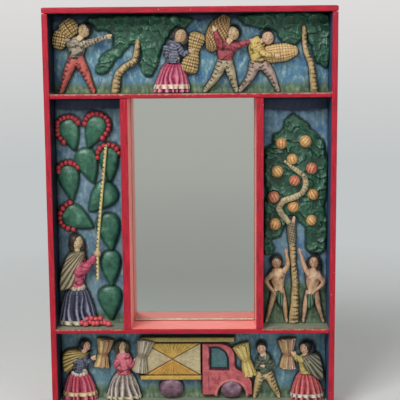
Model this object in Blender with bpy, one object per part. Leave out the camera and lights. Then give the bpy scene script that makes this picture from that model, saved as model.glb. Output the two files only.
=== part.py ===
"""Folk art wall mirror: a crimson slat frame with four relief scenes around a looking glass.

Sizes are in millimetres. The front faces -Y and the origin is the middle of the base.
"""

import math

import bmesh
import bpy
from mathutils import Matrix, Vector

MM = 0.001

# Frame
FRAME_WIDTH = 305.0
FRAME_HEIGHT = 431.0
FRAME_DEPTH = 48.0
OUTER_SLAT = 6.2
SHELF = 5.0
DIVIDER = 7.8
TOP_COMPARTMENT = 82.5
BOTTOM_COMPARTMENT = 80.0
LEFT_COMPARTMENT = 73.0
RIGHT_COMPARTMENT = 70.0
EDGE_ROUND = 0.8
JOINT_GAP = 0.3

# Glass, board and the paste grounds that carry the scenes
GLASS_RECESS = 38.0
GLASS = 3.0
BACK_BOARD = 3.7
GROUND = 12.0
GROUND_ROUND = 1.2

# Sawtooth hanger on the back
HANGER_LENGTH = 46.0
HANGER_HEIGHT = 11.0
HANGER_PLATE = 1.2
HANGER_TEETH = 9
TOOTHED_SHARE = 0.7
TOOTH = 2.5
HANGER_DROP = 34.0

# Scenes are modelled on these grids, across and up, and scaled evenly to fit their compartments
TOP_GRID = (292.6, 82.5)
BOTTOM_GRID = (292.6, 80.0)
LEFT_GRID = (73.0, 246.1)
RIGHT_GRID = (70.0, 246.1)
SEAT_GAP = 0.3

# Figures
HEAD = (6.2, 5.4, 7.3)
HAIR_SPARE = 0.7
HAIR_BACK = 1.6
NECK_RISE = (0.4, 0.56, 0.85)
NECK = 3.4
SHOULDER = 6.4
CHEST = 8.6
WAIST = 6.4
HIP = 7.4
BODY_FLAT = 0.72
ARM = (4.6, 3.9, 2.4)
HAND = 2.7
FINGERS = (0.8, 0.5)
LEG = (6.0, 4.8, 2.8, 3.4)
FOOT_HIGH = 3.0
FOOT_TURN = 0.2
TOE_OUT = 1.0
BARE_SCALE = 0.84
BODY_OUT = 4.6
LEG_OUT = 4.0
ARM_OUT = 7.4
HEAD_OUT = 5.6
SKIRT_PLEATS = 9
PLEAT_DEEP = 0.09
SKIRT_FLAT = 0.5
SKIRT_SEAT = 0.7
SKIRT_FLARE = ((0.0, 1.0), (0.45, 0.78), (0.8, 0.42), (1.0, 0.0))
SHAWL_THICK = 6.0
APRON_THICK = 7.7

# Plants and goods
CROWN_THICK = 5.0
CROWN_ROUND = 1.1
EDGE_TURN = 0.3
PAD_THICK = 6.6
PAD_SIDES = 14
PAD_DOME = ((0.97, 0.5), (0.72, 0.88))
PAD_CREST = 0.34
EGG = 0.34
BEAD = 2.9
BEAD_OFF = 1.3
BEAD_SEAT = 0.55
BEAD_STEP = 20.0
FALLEN_COUNT = 8
FALLEN_START = 21.0
FALLEN_PITCH = 4.3
FALLEN_OUT = 13.0
FRUIT = 6.2
SHEAF_FLAT = 0.6
BASKET_FLAT = 0.62
BUNDLE_SEAT = 0.8
TRUNK_OUT = 3.0
BRANCH_OUT = 5.0
POLE = 1.6

# Truck
BED_THICK = 7.0
RIB = 1.3
CAB_THICK = 7.6
WINDOW_DEEP = 2.2
WHEEL_OUT = 5.0

# Fineness of the rounded shapes
LIMB_SIDES = 7
BUNDLE_SIDES = 10
SHARP_ANGLE = 42.0
WELD = 0.002
BALL_SEGMENTS = 9
BALL_RINGS = 5
BEAD_SEGMENTS = 6
BEAD_RINGS = 4

half_width = FRAME_WIDTH / 2
inner_half = half_width - OUTER_SLAT
front_y = -FRAME_DEPTH / 2
back_y = FRAME_DEPTH / 2
glass_y = front_y + GLASS_RECESS
glass_back_y = glass_y + GLASS
board_y = glass_back_y + JOINT_GAP
board_back_y = board_y + BACK_BOARD
ground_y = glass_back_y - GROUND
lower_shelf_z = OUTER_SLAT + BOTTOM_COMPARTMENT
middle_floor_z = lower_shelf_z + SHELF
top_floor_z = FRAME_HEIGHT - OUTER_SLAT - TOP_COMPARTMENT
upper_shelf_z = top_floor_z - SHELF
ceiling_z = FRAME_HEIGHT - OUTER_SLAT
middle_height = upper_shelf_z - middle_floor_z
left_divider_x = -inner_half + LEFT_COMPARTMENT
glass_left_x = left_divider_x + DIVIDER
right_scene_x = inner_half - RIGHT_COMPARTMENT
right_divider_x = right_scene_x - DIVIDER


def colour_material(name, colour, roughness, metallic=0.0):
    """Plain surface of one colour."""
    material = bpy.data.materials.new(name)
    material.use_nodes = True
    shader = material.node_tree.nodes["Principled BSDF"]
    shader.inputs["Base Color"].default_value = (*colour, 1.0)
    shader.inputs["Roughness"].default_value = roughness
    shader.inputs["Metallic"].default_value = metallic
    return material


def mesh_object(name, shape, material=None):
    """Object from a bmesh in millimetres."""
    bmesh.ops.scale(shape, vec=(MM, MM, MM), verts=shape.verts)
    bmesh.ops.recalc_face_normals(shape, faces=shape.faces)
    mesh = bpy.data.meshes.new(name)
    shape.to_mesh(mesh)
    shape.free()
    piece = bpy.data.objects.new(name, mesh)
    if material:
        mesh.materials.append(material)
    bpy.context.scene.collection.objects.link(piece)
    return piece


def slat(name, material, low, high, edge=EDGE_ROUND):
    """Flat board between two corners, with eased edges."""
    shape = bmesh.new()
    bmesh.ops.create_cube(shape, size=1.0)
    size = Vector(high) - Vector(low)
    middle = (Vector(high) + Vector(low)) / 2
    bmesh.ops.scale(shape, vec=size, verts=shape.verts)
    bmesh.ops.translate(shape, vec=middle, verts=shape.verts)
    piece = mesh_object(name, shape, material)
    if edge:
        ease = piece.modifiers.new("eased_edges", "BEVEL")
        ease.width = edge * MM
        ease.segments = 2
    return piece


class Relief:
    """A compartment's scene: modelled on its grid, then scaled evenly and set on the floor."""

    def __init__(self, left, floor, width, height, grid):
        size = min(width / grid[0], height / grid[1])
        margin = (width - grid[0] * size) / 2
        self.low = (SEAT_GAP, front_y - ground_y, SEAT_GAP)
        self.high = (grid[0] - SEAT_GAP, -SEAT_GAP, grid[1] - SEAT_GAP)
        corner = Vector((left + margin, ground_y, floor)) * MM
        self.fit = Matrix.Translation(corner) @ Matrix.Scale(size, 4)


def place(point):
    """Grid point across, up and out from the ground."""
    return Vector((point[0], -point[2], point[1]))


def skin(shape, rings):
    """Closes a stack of rings with sides and two end faces."""
    for low, high in zip(rings, rings[1:]):
        for i in range(len(low)):
            j = (i + 1) % len(low)
            shape.faces.new((low[i], low[j], high[j], high[i]))
    shape.faces.new(rings[0])
    shape.faces.new(rings[-1])
    shape.normal_update()
    bmesh.ops.triangulate(shape, faces=shape.faces)
    return shape


def limb(path, radii, flat=1.0, sides=LIMB_SIDES):
    """Tapered round bar along a path of grid points."""

    def build(grow):
        shape = bmesh.new()
        centres = [place(point) for point in path]
        outward = Vector((0, -1, 0))
        rings = []
        for i, centre in enumerate(centres):
            along = (centres[min(i + 1, len(path) - 1)] - centres[max(i - 1, 0)]).normalized()
            side = along.cross(outward).normalized()
            front = side.cross(along).normalized()
            stretch = {0: -grow, len(path) - 1: grow}.get(i, 0)
            ring = []
            for k in range(sides):
                angle = 2 * math.pi * (k + 0.5) / sides
                offset = side * math.cos(angle) * (radii[i] + grow)
                offset += front * math.sin(angle) * (radii[i] * flat + grow)
                ring.append(shape.verts.new(centre + along * stretch + offset))
            rings.append(ring)
        return skin(shape, rings)

    return build


def ball(centre, half_sizes, segments=BALL_SEGMENTS, rings=BALL_RINGS):
    """Rounded lump with half sizes across, out and up."""

    def build(grow):
        shape = bmesh.new()
        sizes = Vector(half_sizes) + Vector((grow, grow, grow))
        spread = Matrix.Translation(place(centre)) @ Matrix.Diagonal((*sizes, 1.0))
        bmesh.ops.create_uvsphere(
            shape, u_segments=segments, v_segments=rings, radius=1.0, matrix=spread
        )
        return shape

    return build


def outline_offset(points, amount):
    """Moves a closed outline inward, or outward with a negative amount."""
    area = sum(
        a.x * b.z - b.x * a.z for a, b in zip(points, points[1:] + points[:1])
    )
    turn = 1 if area > 0 else -1
    moved = []
    for i, point in enumerate(points):
        before = (point - points[i - 1]).normalized()
        after = (points[(i + 1) % len(points)] - point).normalized()
        along = (before + after).normalized()
        moved.append(point + Vector((-along.z, 0, along.x)) * turn * amount)
    return moved


def slab(outline, thick, edge=0.0, out=SEAT_GAP):
    """Flat relief of one outline, its front edge rounded over."""

    def build(grow):
        shape = bmesh.new()
        flat = [place((*point, 0)) for point in outline]
        levels = [(0.0, out - grow), (0.0, thick - edge + grow)]
        if edge:
            turn = edge * EDGE_TURN
            levels += [(turn, thick - turn + grow), (edge, thick + grow)]
        rings = []
        for inset, level in levels:
            points = outline_offset(flat, inset - grow)
            lift = Vector((0, -level, 0))
            rings.append([shape.verts.new(point + lift) for point in points])
        return skin(shape, rings)

    return build


def skirt(waist, hem, waist_half, hem_half):
    """Pleated skirt from a waist point down to the middle of its hem."""

    def build(grow):
        shape = bmesh.new()
        sides = SKIRT_PLEATS * 2
        rings = []
        for level, spread in SKIRT_FLARE:
            half = waist_half + (hem_half - waist_half) * spread
            middle = Vector(hem).lerp(Vector(waist), level)
            deep = half * SKIRT_FLAT
            centre = place((middle.x, middle.y, deep * SKIRT_SEAT))
            centre.z += {0.0: -grow, 1.0: grow}.get(level, 0)
            ring = []
            for k in range(sides):
                angle = 2 * math.pi * k / sides
                pleat = 1 - PLEAT_DEEP * spread * (k % 2)
                across = math.cos(angle) * (half * pleat + grow)
                out = math.sin(angle) * (deep * pleat + grow)
                ring.append(shape.verts.new(centre + Vector((across, -out, 0))))
            rings.append(ring)
        return skin(shape, rings)

    return build


def egg_point(angle):
    """Unit egg outline, broad at the top, as shares of its half width and half length."""
    broad = (1 + EGG * math.sin(angle)) / (1 + EGG / 5)
    return math.cos(angle) * broad, math.sin(angle)


def pad(tip, top, wide):
    """Prickly pear pad: an egg outline from its narrow joint to its broad top, domed in front."""

    def build(grow):
        shape = bmesh.new()
        start = place((*tip, 0))
        axis = place((*top, 0)) - start
        along = axis.normalized()
        side = Vector((along.z, 0, -along.x))
        length = axis.length / 2 + grow
        half = wide / 2 + grow
        middle = start + axis / 2
        rings = []
        domes = [(1.0, SEAT_GAP - grow)]
        domes += [(share, level * PAD_THICK) for share, level in PAD_DOME]
        domes.append((PAD_CREST, PAD_THICK + grow))
        for share, level in domes:
            ring = []
            for k in range(PAD_SIDES):
                angle = 2 * math.pi * k / PAD_SIDES
                across, up = egg_point(angle)
                point = middle + (side * across * half + along * up * length) * share
                ring.append(shape.verts.new(point + Vector((0, -level, 0))))
            rings.append(ring)
        return skin(shape, rings)

    return build


def rim_beads(tip, top, wide, start, finish):
    """Places of a row of fruits around the rim of a pad, between two angles in degrees."""
    gaps = round(abs(finish - start) / BEAD_STEP)
    tip = Vector(tip)
    axis = Vector(top) - tip
    along = axis.normalized()
    side = Vector((along.y, -along.x))
    places = []
    for i in range(gaps + 1):
        across, up = egg_point(math.radians(start + (finish - start) * i / gaps))
        point = tip + axis / 2
        point += side * across * (wide / 2 + BEAD_OFF) + along * up * (axis.length / 2 + BEAD_OFF)
        places.append((max(point.x, BEAD + SEAT_GAP), point.y))
    return places


def beads(places, out, radius=BEAD):
    """Row of small round fruits."""
    return [
        ball((*spot, out), (radius, radius, radius), BEAD_SEGMENTS, BEAD_RINGS)
        for spot in places
    ]


def person(head, chest, waist, arms, legs=(), dress=None, hair=(0.0, 1.6), size=1.0):
    """Figure from pose points; arms and legs each run through three of them."""
    hip = Vector((waist[0], waist[1] - WAIST * size / 2))
    rise = [Vector(chest).lerp(Vector(head), share) for share in NECK_RISE]
    trunk = [hip, Vector(waist), Vector(chest)] + rise
    solids = [
        limb(
            [(*point, BODY_OUT) for point in trunk],
            [half * size for half in (HIP, WAIST, CHEST, SHOULDER, NECK, NECK)],
            BODY_FLAT,
        ),
        ball((*head, HEAD_OUT), [half * size for half in HEAD]),
        ball(
            (head[0] + hair[0], head[1] + hair[1], HEAD_OUT - HAIR_BACK),
            [(half + HAIR_SPARE) * size for half in HEAD],
        ),
    ]
    for arm in arms:
        path = [Vector(point if len(point) == 3 else (*point, ARM_OUT)) for point in arm]
        reach = (path[2] - path[1]).normalized() * HAND * size
        path = path[:2] + [path[2] - reach, path[2], path[2] + reach * FINGERS[0]]
        solids.append(limb(path, [radius * size for radius in (*ARM, HAND, HAND * FINGERS[1])]))
    for leg in legs:
        path = [Vector((*point, LEG_OUT)) for point in leg]
        toe = Vector(((path[2].x - path[1].x) * FOOT_TURN, -FOOT_HIGH * size, TOE_OUT))
        path.append(path[2] + toe)
        solids.append(limb(path, [radius * size for radius in LEG]))
    if dress:
        solids.append(skirt(waist, *dress))
    return solids


def stem(path, radii, out=TRUNK_OUT):
    """Round bar that keeps one distance out from the ground."""
    return limb([(*point, out) for point in path], radii)


def bundle(path, radii, flat):
    """Tied or woven bundle along a path, standing out from the ground by its own thickness."""
    out = max(radii) * flat * BUNDLE_SEAT
    return limb([(*point, out) for point in path], radii, flat, sides=BUNDLE_SIDES)


def bounds(piece):
    """Least and greatest place of an object along each axis."""
    corners = [piece.matrix_world @ Vector(corner) for corner in piece.bound_box]
    return [(min(c[i] for c in corners), max(c[i] for c in corners)) for i in range(3)]


def touching(first, second):
    """Whether the boxes around two objects meet."""
    pairs = zip(bounds(first), bounds(second))
    return all(a[0] < b[1] and b[0] < a[1] for a, b in pairs)


def combined(base, operands):
    """Evaluates a chain of exact booleans on an object and returns the mesh."""
    for operation, operand in operands:
        step = base.modifiers.new(operation, "BOOLEAN")
        step.operation = operation
        step.solver = "EXACT"
        step.object = operand
        operand.hide_render = True
        operand.display_type = "WIRE"
    view = bpy.context.evaluated_depsgraph_get()
    return bpy.data.meshes.new_from_object(base.evaluated_get(view))


def largest_body(mesh):
    """Drops the offcuts that a seating cut leaves loose and joins points that fell together."""
    shape = bmesh.new()
    shape.from_mesh(mesh)
    bmesh.ops.remove_doubles(shape, verts=shape.verts, dist=WELD * MM)
    waiting = set(shape.verts)
    bodies = []
    while waiting:
        body = {waiting.pop()}
        edge_of_body = list(body)
        while edge_of_body:
            near = {e.other_vert(v) for v in edge_of_body for e in v.link_edges} - body
            body |= near
            edge_of_body = list(near)
        waiting -= body
        bodies.append(body)
    bodies.sort(key=len)
    for body in bodies[:-1]:
        bmesh.ops.delete(shape, geom=list(body), context="VERTS")
    shape.to_mesh(mesh)
    shape.free()


set_pieces = []


def relief_piece(name, material, relief, solids, carved=()):
    """One modelled piece: solids fused, kept inside its compartment with a flat back, and cut
    clear of the pieces set before it."""
    parts = [mesh_object(name, solid(0.0), material) for solid in solids]
    helpers = [mesh_object("carving", cut(0.0)) for cut in carved]
    room = slat("room", None, relief.low, relief.high, 0)
    for relief_before, solids_before in set_pieces:
        if relief_before is not relief:
            continue
        for solid in solids_before:
            clearance = mesh_object("clearance", solid(SEAT_GAP))
            if any(touching(clearance, part) for part in parts):
                helpers.append(clearance)
            else:
                bpy.data.objects.remove(clearance)
    operands = [("UNION", part) for part in parts[1:]]
    operands += [("DIFFERENCE", helper) for helper in helpers]
    operands.append(("INTERSECT", room))
    mesh = combined(parts[0], operands)
    largest_body(mesh)
    mesh.transform(relief.fit)
    mesh.name = name
    for part in parts[1:] + helpers + [room]:
        bpy.data.objects.remove(part)
    parts[0].modifiers.clear()
    parts[0].data = mesh
    mesh.shade_smooth()
    mesh.set_sharp_from_angle(angle=math.radians(SHARP_ANGLE))
    set_pieces.append((relief, solids))
    return parts[0]


def paste_ground(name, material, left, floor, width, height):
    """Painted paste panel at the back of one compartment."""
    low = (left + JOINT_GAP, ground_y, floor + JOINT_GAP)
    high = (left + width - JOINT_GAP, glass_back_y, floor + height - JOINT_GAP)
    slat(name, material, low, high, GROUND_ROUND)
    return (left, floor, width, height)


for old in list(bpy.data.objects):
    bpy.data.objects.remove(old)

crimson = colour_material("crimson_painted_wood", (0.42, 0.012, 0.03), 0.45)
board_wood = colour_material("plain_board_wood", (0.36, 0.24, 0.13), 0.7)
looking_glass = colour_material("silvered_glass", (0.82, 0.85, 0.82), 0.03, 1.0)
steel = colour_material("steel_plate", (0.55, 0.55, 0.55), 0.35, 1.0)
blue_ground = colour_material("blue_painted_paste", (0.2, 0.38, 0.55), 0.6)
leaf_green = colour_material("green_painted_paste", (0.06, 0.22, 0.07), 0.55)
cactus_green = colour_material("cactus_green_paste", (0.16, 0.3, 0.06), 0.5)
bark = colour_material("ochre_painted_paste", (0.5, 0.33, 0.1), 0.55)
straw = colour_material("straw_painted_paste", (0.62, 0.5, 0.2), 0.6)
fruit_red = colour_material("red_painted_paste", (0.5, 0.02, 0.02), 0.4)
dress_pink = colour_material("pink_painted_paste", (0.55, 0.06, 0.1), 0.5)
cloth_cream = colour_material("cream_painted_paste", (0.66, 0.56, 0.4), 0.5)
skin_paste = colour_material("skin_painted_paste", (0.66, 0.36, 0.22), 0.5)
wheel_violet = colour_material("violet_painted_paste", (0.14, 0.08, 0.22), 0.5)

# Frame slats
stile_low = OUTER_SLAT + JOINT_GAP
stile_high = ceiling_z - JOINT_GAP
slat("bottom_rail", crimson, (-half_width, front_y, 0), (half_width, back_y, OUTER_SLAT))
slat("top_rail", crimson, (-half_width, front_y, ceiling_z), (half_width, back_y, FRAME_HEIGHT))
slat("left_stile", crimson, (-half_width, front_y, stile_low), (-inner_half, back_y, stile_high))
slat("right_stile", crimson, (inner_half, front_y, stile_low), (half_width, back_y, stile_high))
shelf_half = inner_half - JOINT_GAP
for shelf_name, shelf_z in (("lower_shelf", lower_shelf_z), ("upper_shelf", upper_shelf_z)):
    slat(
        shelf_name, crimson,
        (-shelf_half, front_y, shelf_z), (shelf_half, glass_back_y, shelf_z + SHELF),
    )
for divider_name, divider_x in (
    ("left_divider", left_divider_x), ("right_divider", right_divider_x)
):
    slat(
        divider_name, crimson,
        (divider_x, front_y, middle_floor_z + JOINT_GAP),
        (divider_x + DIVIDER, glass_back_y, upper_shelf_z - JOINT_GAP),
    )

# Glass, board and hanger
slat(
    "mirror_glass", looking_glass,
    (glass_left_x + JOINT_GAP, glass_y, middle_floor_z + JOINT_GAP),
    (right_divider_x - JOINT_GAP, glass_back_y, upper_shelf_z - JOINT_GAP), 0,
)
slat(
    "back_board", board_wood,
    (-shelf_half, board_y, stile_low), (shelf_half, board_back_y, stile_high), 0,
)


def sawtooth_hanger():
    """Steel strip whose lower edge is a row of notches for a nail."""
    top = ceiling_z - HANGER_DROP
    half = HANGER_LENGTH / 2
    pitch = HANGER_LENGTH * TOOTHED_SHARE / HANGER_TEETH
    base = top - HANGER_HEIGHT
    outline = [(-half, top), (-half, base)]
    for tooth in range(HANGER_TEETH):
        left = (tooth - HANGER_TEETH / 2) * pitch
        outline += [(left, base), (left + pitch / 2, base + TOOTH)]
    outline += [(HANGER_TEETH / 2 * pitch, base), (half, base), (half, top)]
    shape = bmesh.new()
    rings = []
    for level in (board_back_y + SEAT_GAP, board_back_y + SEAT_GAP + HANGER_PLATE):
        rings.append([shape.verts.new((x, level, z)) for x, z in outline])
    mesh_object("sawtooth_hanger", skin(shape, rings), steel)


sawtooth_hanger()

# Grounds and their scenes
inner_width = 2 * inner_half
top = Relief(*paste_ground(
    "top_ground", blue_ground, -inner_half, top_floor_z, inner_width, TOP_COMPARTMENT
), TOP_GRID)
bottom = Relief(*paste_ground(
    "bottom_ground", blue_ground, -inner_half, OUTER_SLAT, inner_width, BOTTOM_COMPARTMENT
), BOTTOM_GRID)
left = Relief(*paste_ground(
    "left_ground", blue_ground, -inner_half, middle_floor_z, LEFT_COMPARTMENT, middle_height
), LEFT_GRID)
right = Relief(*paste_ground(
    "right_ground", blue_ground, right_scene_x, middle_floor_z, RIGHT_COMPARTMENT, middle_height
), RIGHT_GRID)

# Top scene: harvesters between two trees
relief_piece("bundle_man", cloth_cream, top, person(
    (34.5, 66), (26.5, 50), (25, 37),
    [((31, 50.5), (39, 53), (60.5, 60)), ((20.5, 51), (14, 57, 11), (8.5, 62, 12))],
    [((22, 36), (15, 20), (9.5, 4)), ((28, 36), (35, 21), (42, 4))],
))
relief_piece("back_bundles", straw, top, [
    ball((17, 69.5, 5.5), (9.6, 6.2, 9.4)), ball((8.3, 55.5, 5), (7.4, 5.6, 8)),
])
relief_piece("left_trunk", bark, top, [stem(
    [(66, 1.2), (69, 18), (76, 27), (86, 33), (89.5, 42), (91, 55)],
    [4.2, 3.7, 3.4, 3.2, 2.9, 2.5],
)])
relief_piece("basket_woman", dress_pink, top, person(
    (136, 60), (128.5, 47), (128, 33),
    [((133.5, 47), (139, 41.5), (147, 44)), ((122, 48), (121.5, 40), (131, 37))],
    dress=((126, 1), 6.4, 18), hair=(-1, 1.8),
))
relief_piece("woman_basket", straw, top, [bundle(
    [(154, 58.5), (152, 53), (149.5, 44), (147.4, 36), (144.6, 25.5)], [8, 7, 5, 7, 8.6],
    BASKET_FLAT,
)])
relief_piece("left_crown", leaf_green, top, [slab([
    (44, 80), (45, 70), (50, 65), (57, 66), (62.5, 62), (65, 55), (64, 48), (52, 40), (46, 24),
    (50, 20), (57, 22), (70, 38), (83, 51.5), (93.5, 45), (93, 28), (98, 17.5), (104, 18),
    (110, 28), (115, 43), (120, 54), (125, 64), (131, 71), (142, 73), (142, 80),
], CROWN_THICK, CROWN_ROUND)])
relief_piece("red_jacket_man", dress_pink, top, person(
    (191.6, 62), (184, 47), (183, 33),
    [((179, 48, 9), (175, 57, 12), (171.6, 66, 13)), ((189.5, 47), (198.6, 50), (211, 54))],
    [((180, 31), (173, 17), (163, 4)), ((186, 31), (190, 18), (194, 4))],
))
relief_piece("yellow_vest_man", straw, top, person(
    (227.6, 57), (216.5, 48.5), (217.5, 32),
    [((217, 49.5), (223, 40.5, 11), (236.6, 38.5, 13))],
    [((214, 30), (210, 18), (200, 4)), ((224, 29), (231.5, 18), (237.6, 4))],
))
relief_piece("shoulder_basket", straw, top, [bundle(
    [(167, 46), (171.5, 54), (177.5, 67), (183.5, 78)], [4, 9.6, 10.4, 4.6], BASKET_FLAT
)])
relief_piece("long_basket", straw, top, [bundle(
    [(222.6, 39), (229, 39.5), (246, 41), (256.6, 42)], [4.6, 8.4, 8.8, 4.6], BASKET_FLAT
)])
relief_piece("right_trunk", bark, top, [stem(
    [(276.6, 1.2), (273.6, 28), (269.6, 38), (266.6, 50), (265.6, 68)], [3.8, 3.1, 2.9, 2.6, 1.9]
)])
relief_piece("right_crown", leaf_green, top, [slab([
    (202.6, 75), (215.6, 70), (230, 68), (237.6, 62), (243.6, 52.5), (248, 50), (255.6, 49),
    (262, 54), (267, 60), (270.5, 53), (274.6, 45), (277.6, 35), (282.6, 29.5), (291.4, 28.5),
    (291.4, 80.5), (202.6, 80.5),
], CROWN_THICK, CROWN_ROUND)])

# Left scene: a woman knocking fruit from a prickly pear
bead_out = PAD_THICK * BEAD_SEAT
pole_out = PAD_THICK + SEAT_GAP + POLE
relief_piece("fruit_pole", straw, left, [stem(
    [(43.5, 51), (45, 95), (55.5, 196)], [POLE] * 3, pole_out
)])
relief_piece("pole_woman", dress_pink, left, person(
    (21.5, 91), (22, 65), (20, 42),
    [((24, 66), (32, 59), (42, 75)), ((18, 64), (18, 54), (27, 48))],
    dress=((20.5, 1), 8, 19.5), hair=(-1.5, 1.2),
) + [
    ball((44, 79, pole_out), (3.6, 3.6, 4)),
    slab([(27, 80), (10, 76), (1, 50), (2.5, 39), (14, 46), (24, 62)], SHAWL_THICK, CROWN_ROUND),
])
cactus = {
    "cactus_pad_c": ((41, 154.5), (29.5, 192.5), 24, None),
    "cactus_pad_f": ((35, 124), (62, 153), 28, None),
    "cactus_pad_g": ((39.5, 106.5), (6.5, 125.5), 26, (60, 170)),
    "cactus_pad_a": ((21.5, 190), (11.5, 224.5), 22, (190, 42)),
    "cactus_pad_b": ((36, 193), (49.5, 227.5), 23, (159, 2)),
    "cactus_pad_d": ((58.5, 155.5), (57, 195), 21, (148, 50)),
    "cactus_pad_e": ((17, 136), (12, 176), 23, (128, 54)),
    "cactus_pad_j": ((57, 3.5), (55, 42), 26, None),
    "cactus_pad_i": ((58, 41), (57, 81.5), 22, None),
    "cactus_pad_h": ((59, 80.5), (53.5, 122.5), 26, None),
}
for pad_name, (tip, top_point, wide, row) in cactus.items():
    shape_of_pad = (tip, top_point, wide)
    row_places = rim_beads(*shape_of_pad, *row) if row else ()
    relief_piece(pad_name, cactus_green, left, [pad(*shape_of_pad)] + beads(row_places, bead_out))
relief_piece("fallen_fruit", fruit_red, left, beads([
    (FALLEN_START + FALLEN_PITCH * i, BEAD + SEAT_GAP + i % 2) for i in range(FALLEN_COUNT)
], FALLEN_OUT))

# Right scene: two bare figures under a fruit tree
relief_piece("tree_trunk", bark, right, [stem(
    [(34, 1.2), (35, 20), (35.5, 45), (33.5, 65), (31.5, 95), (31, 115)],
    [5.4, 4.2, 3.3, 3.0, 3.2, 3.8],
)])
relief_piece("serpent_branch", cloth_cream, right, [stem(
    [
        (28, 112), (20, 122), (17.8, 128.5), (23, 135.5), (32, 138.5), (41.5, 143.5), (46, 152),
        (44, 161.5), (35, 169), (23.5, 178),
    ],
    [2.2, 2.6, 2.8, 2.8, 2.7, 2.6, 2.5, 2.3, 2.0, 1.2], BRANCH_OUT,
)])
relief_piece("bare_man", skin_paste, right, person(
    (15, 68), (16, 55), (17, 40),
    [((10, 55), (4, 47.5), (13, 34)), ((22, 57), (27, 66), (25, 81))],
    [((14, 38), (9, 20), (5, 4.5)), ((20, 38), (24, 21), (26, 4.5))], size=BARE_SCALE,
) + [slab([(13.5, 35), (22, 35), (21.5, 24), (18, 19), (14.5, 24)], APRON_THICK, CROWN_ROUND)])
relief_piece("bare_woman", skin_paste, right, person(
    (56, 68), (55, 54), (54, 37),
    [((50, 55), (45, 64), (40, 81)), ((60.5, 54), (65.5, 45.5), (54, 34))],
    [((50.5, 35), (47, 20), (45, 4.5)), ((58, 35), (61, 20), (65.5, 4.5))],
    hair=(1.6, 0.6), size=BARE_SCALE,
) + [slab([(48, 32), (57.5, 32), (56, 21), (52, 16), (48.5, 21)], APRON_THICK, CROWN_ROUND)])
fruit_places = (
    (19.5, 197), (45.5, 199), (31.5, 180), (15.5, 167), (52.5, 170), (34, 157), (11.5, 139.5),
    (54, 142), (33, 128.5), (13, 110), (52.5, 114),
)
relief_piece("tree_crown", leaf_green, right, [slab([
    (32, 228), (25, 222), (20, 213.5), (12, 209), (8, 202), (2, 190), (1.5, 160), (1.5, 120),
    (2, 97), (9, 93), (18, 95), (25, 104), (31, 120), (40, 112), (48, 105), (48.5, 92), (50, 83),
    (58, 81), (65, 88), (67.5, 110), (66, 125), (68, 150), (66.5, 170), (67.5, 180), (65, 192),
    (60, 203), (54, 210.5), (47, 215.5), (40, 222),
], CROWN_THICK, CROWN_ROUND)] + beads(fruit_places, CROWN_THICK, FRUIT))

# Bottom scene: women and a man with tied sheaves beside a truck
relief_piece("shawl_woman", dress_pink, bottom, person(
    (28.5, 60), (22, 44), (20, 30),
    [((26.5, 43), (31, 42), (36.5, 47)), ((17, 43), (17, 36), (25, 33))],
    dress=((21, 1), 8, 18), hair=(-2.2, 1.4),
) + [slab([(28, 51), (17, 56), (5, 54), (1.5, 45), (3, 32), (9, 30.5)], SHAWL_THICK, CROWN_ROUND)])
relief_piece("first_sheaf", straw, bottom, [bundle(
    [(51.5, 67), (49, 59), (45.5, 48), (44.5, 42), (44, 34)], [8.4, 7, 4.4, 6.4, 9], SHEAF_FLAT
)])
relief_piece("blouse_woman", dress_pink, bottom, person(
    (68, 60), (69.5, 44), (69.5, 30),
    [((75, 44), (77, 38), (84, 45)), ((64, 44), (62.5, 37), (70, 34))],
    dress=((69.5, 1), 6.6, 18), hair=(-1.5, 1.4),
))
relief_piece("second_sheaf", straw, bottom, [bundle(
    [(92, 69), (91.5, 60), (90, 46), (90, 40), (90, 31)], [7.4, 6.4, 4.4, 6.6, 9], SHEAF_FLAT
)])
bed_front = BED_THICK + RIB
bed_corners = ((92, 27), (155, 27), (155, 64), (92, 64))
relief_piece("truck_bed", straw, bottom, [
    slab(bed_corners, BED_THICK),
    slab([(91, 21.5), (155.5, 21.5), (155.5, 27.5), (91, 27.5)], bed_front),
    slab([(98, 63.5), (192, 63.5), (192, 69.5), (98, 69.5)], bed_front),
] + [
    limb([(*a, BED_THICK), (*b, BED_THICK)], [RIB] * 2, sides=6)
    for a, b in (((95, 30), (153, 61)), ((95, 61), (153, 30)))
])
relief_piece("rear_wheel", wheel_violet, bottom, [ball((122, 10.8, WHEEL_OUT), (13, 7, 10.2))])
relief_piece("green_jacket_man", leaf_green, bottom, person(
    (221.6, 57), (225, 43), (225, 30),
    [((219, 43), (217.5, 36), (228, 35.5)), ((231, 43), (233.5, 36), (223, 38, 9))],
    [((221, 28), (217.5, 15), (214.5, 4)), ((229, 28), (234.5, 15), (240, 4))],
))
relief_piece("third_sheaf", straw, bottom, [bundle(
    [(201, 63), (203, 54), (205.4, 43), (206.5, 36), (207.6, 26)], [8, 7, 4.4, 6, 7.6], SHEAF_FLAT
)])


def wheel_arch(centre, radius, steps=7):
    """Points of a half ring over a wheel, from its front to its back."""
    return [
        (centre[0] + radius * math.cos(angle), centre[1] + radius * math.sin(angle))
        for angle in (math.pi * i / (steps - 1) for i in range(steps))
    ]


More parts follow.
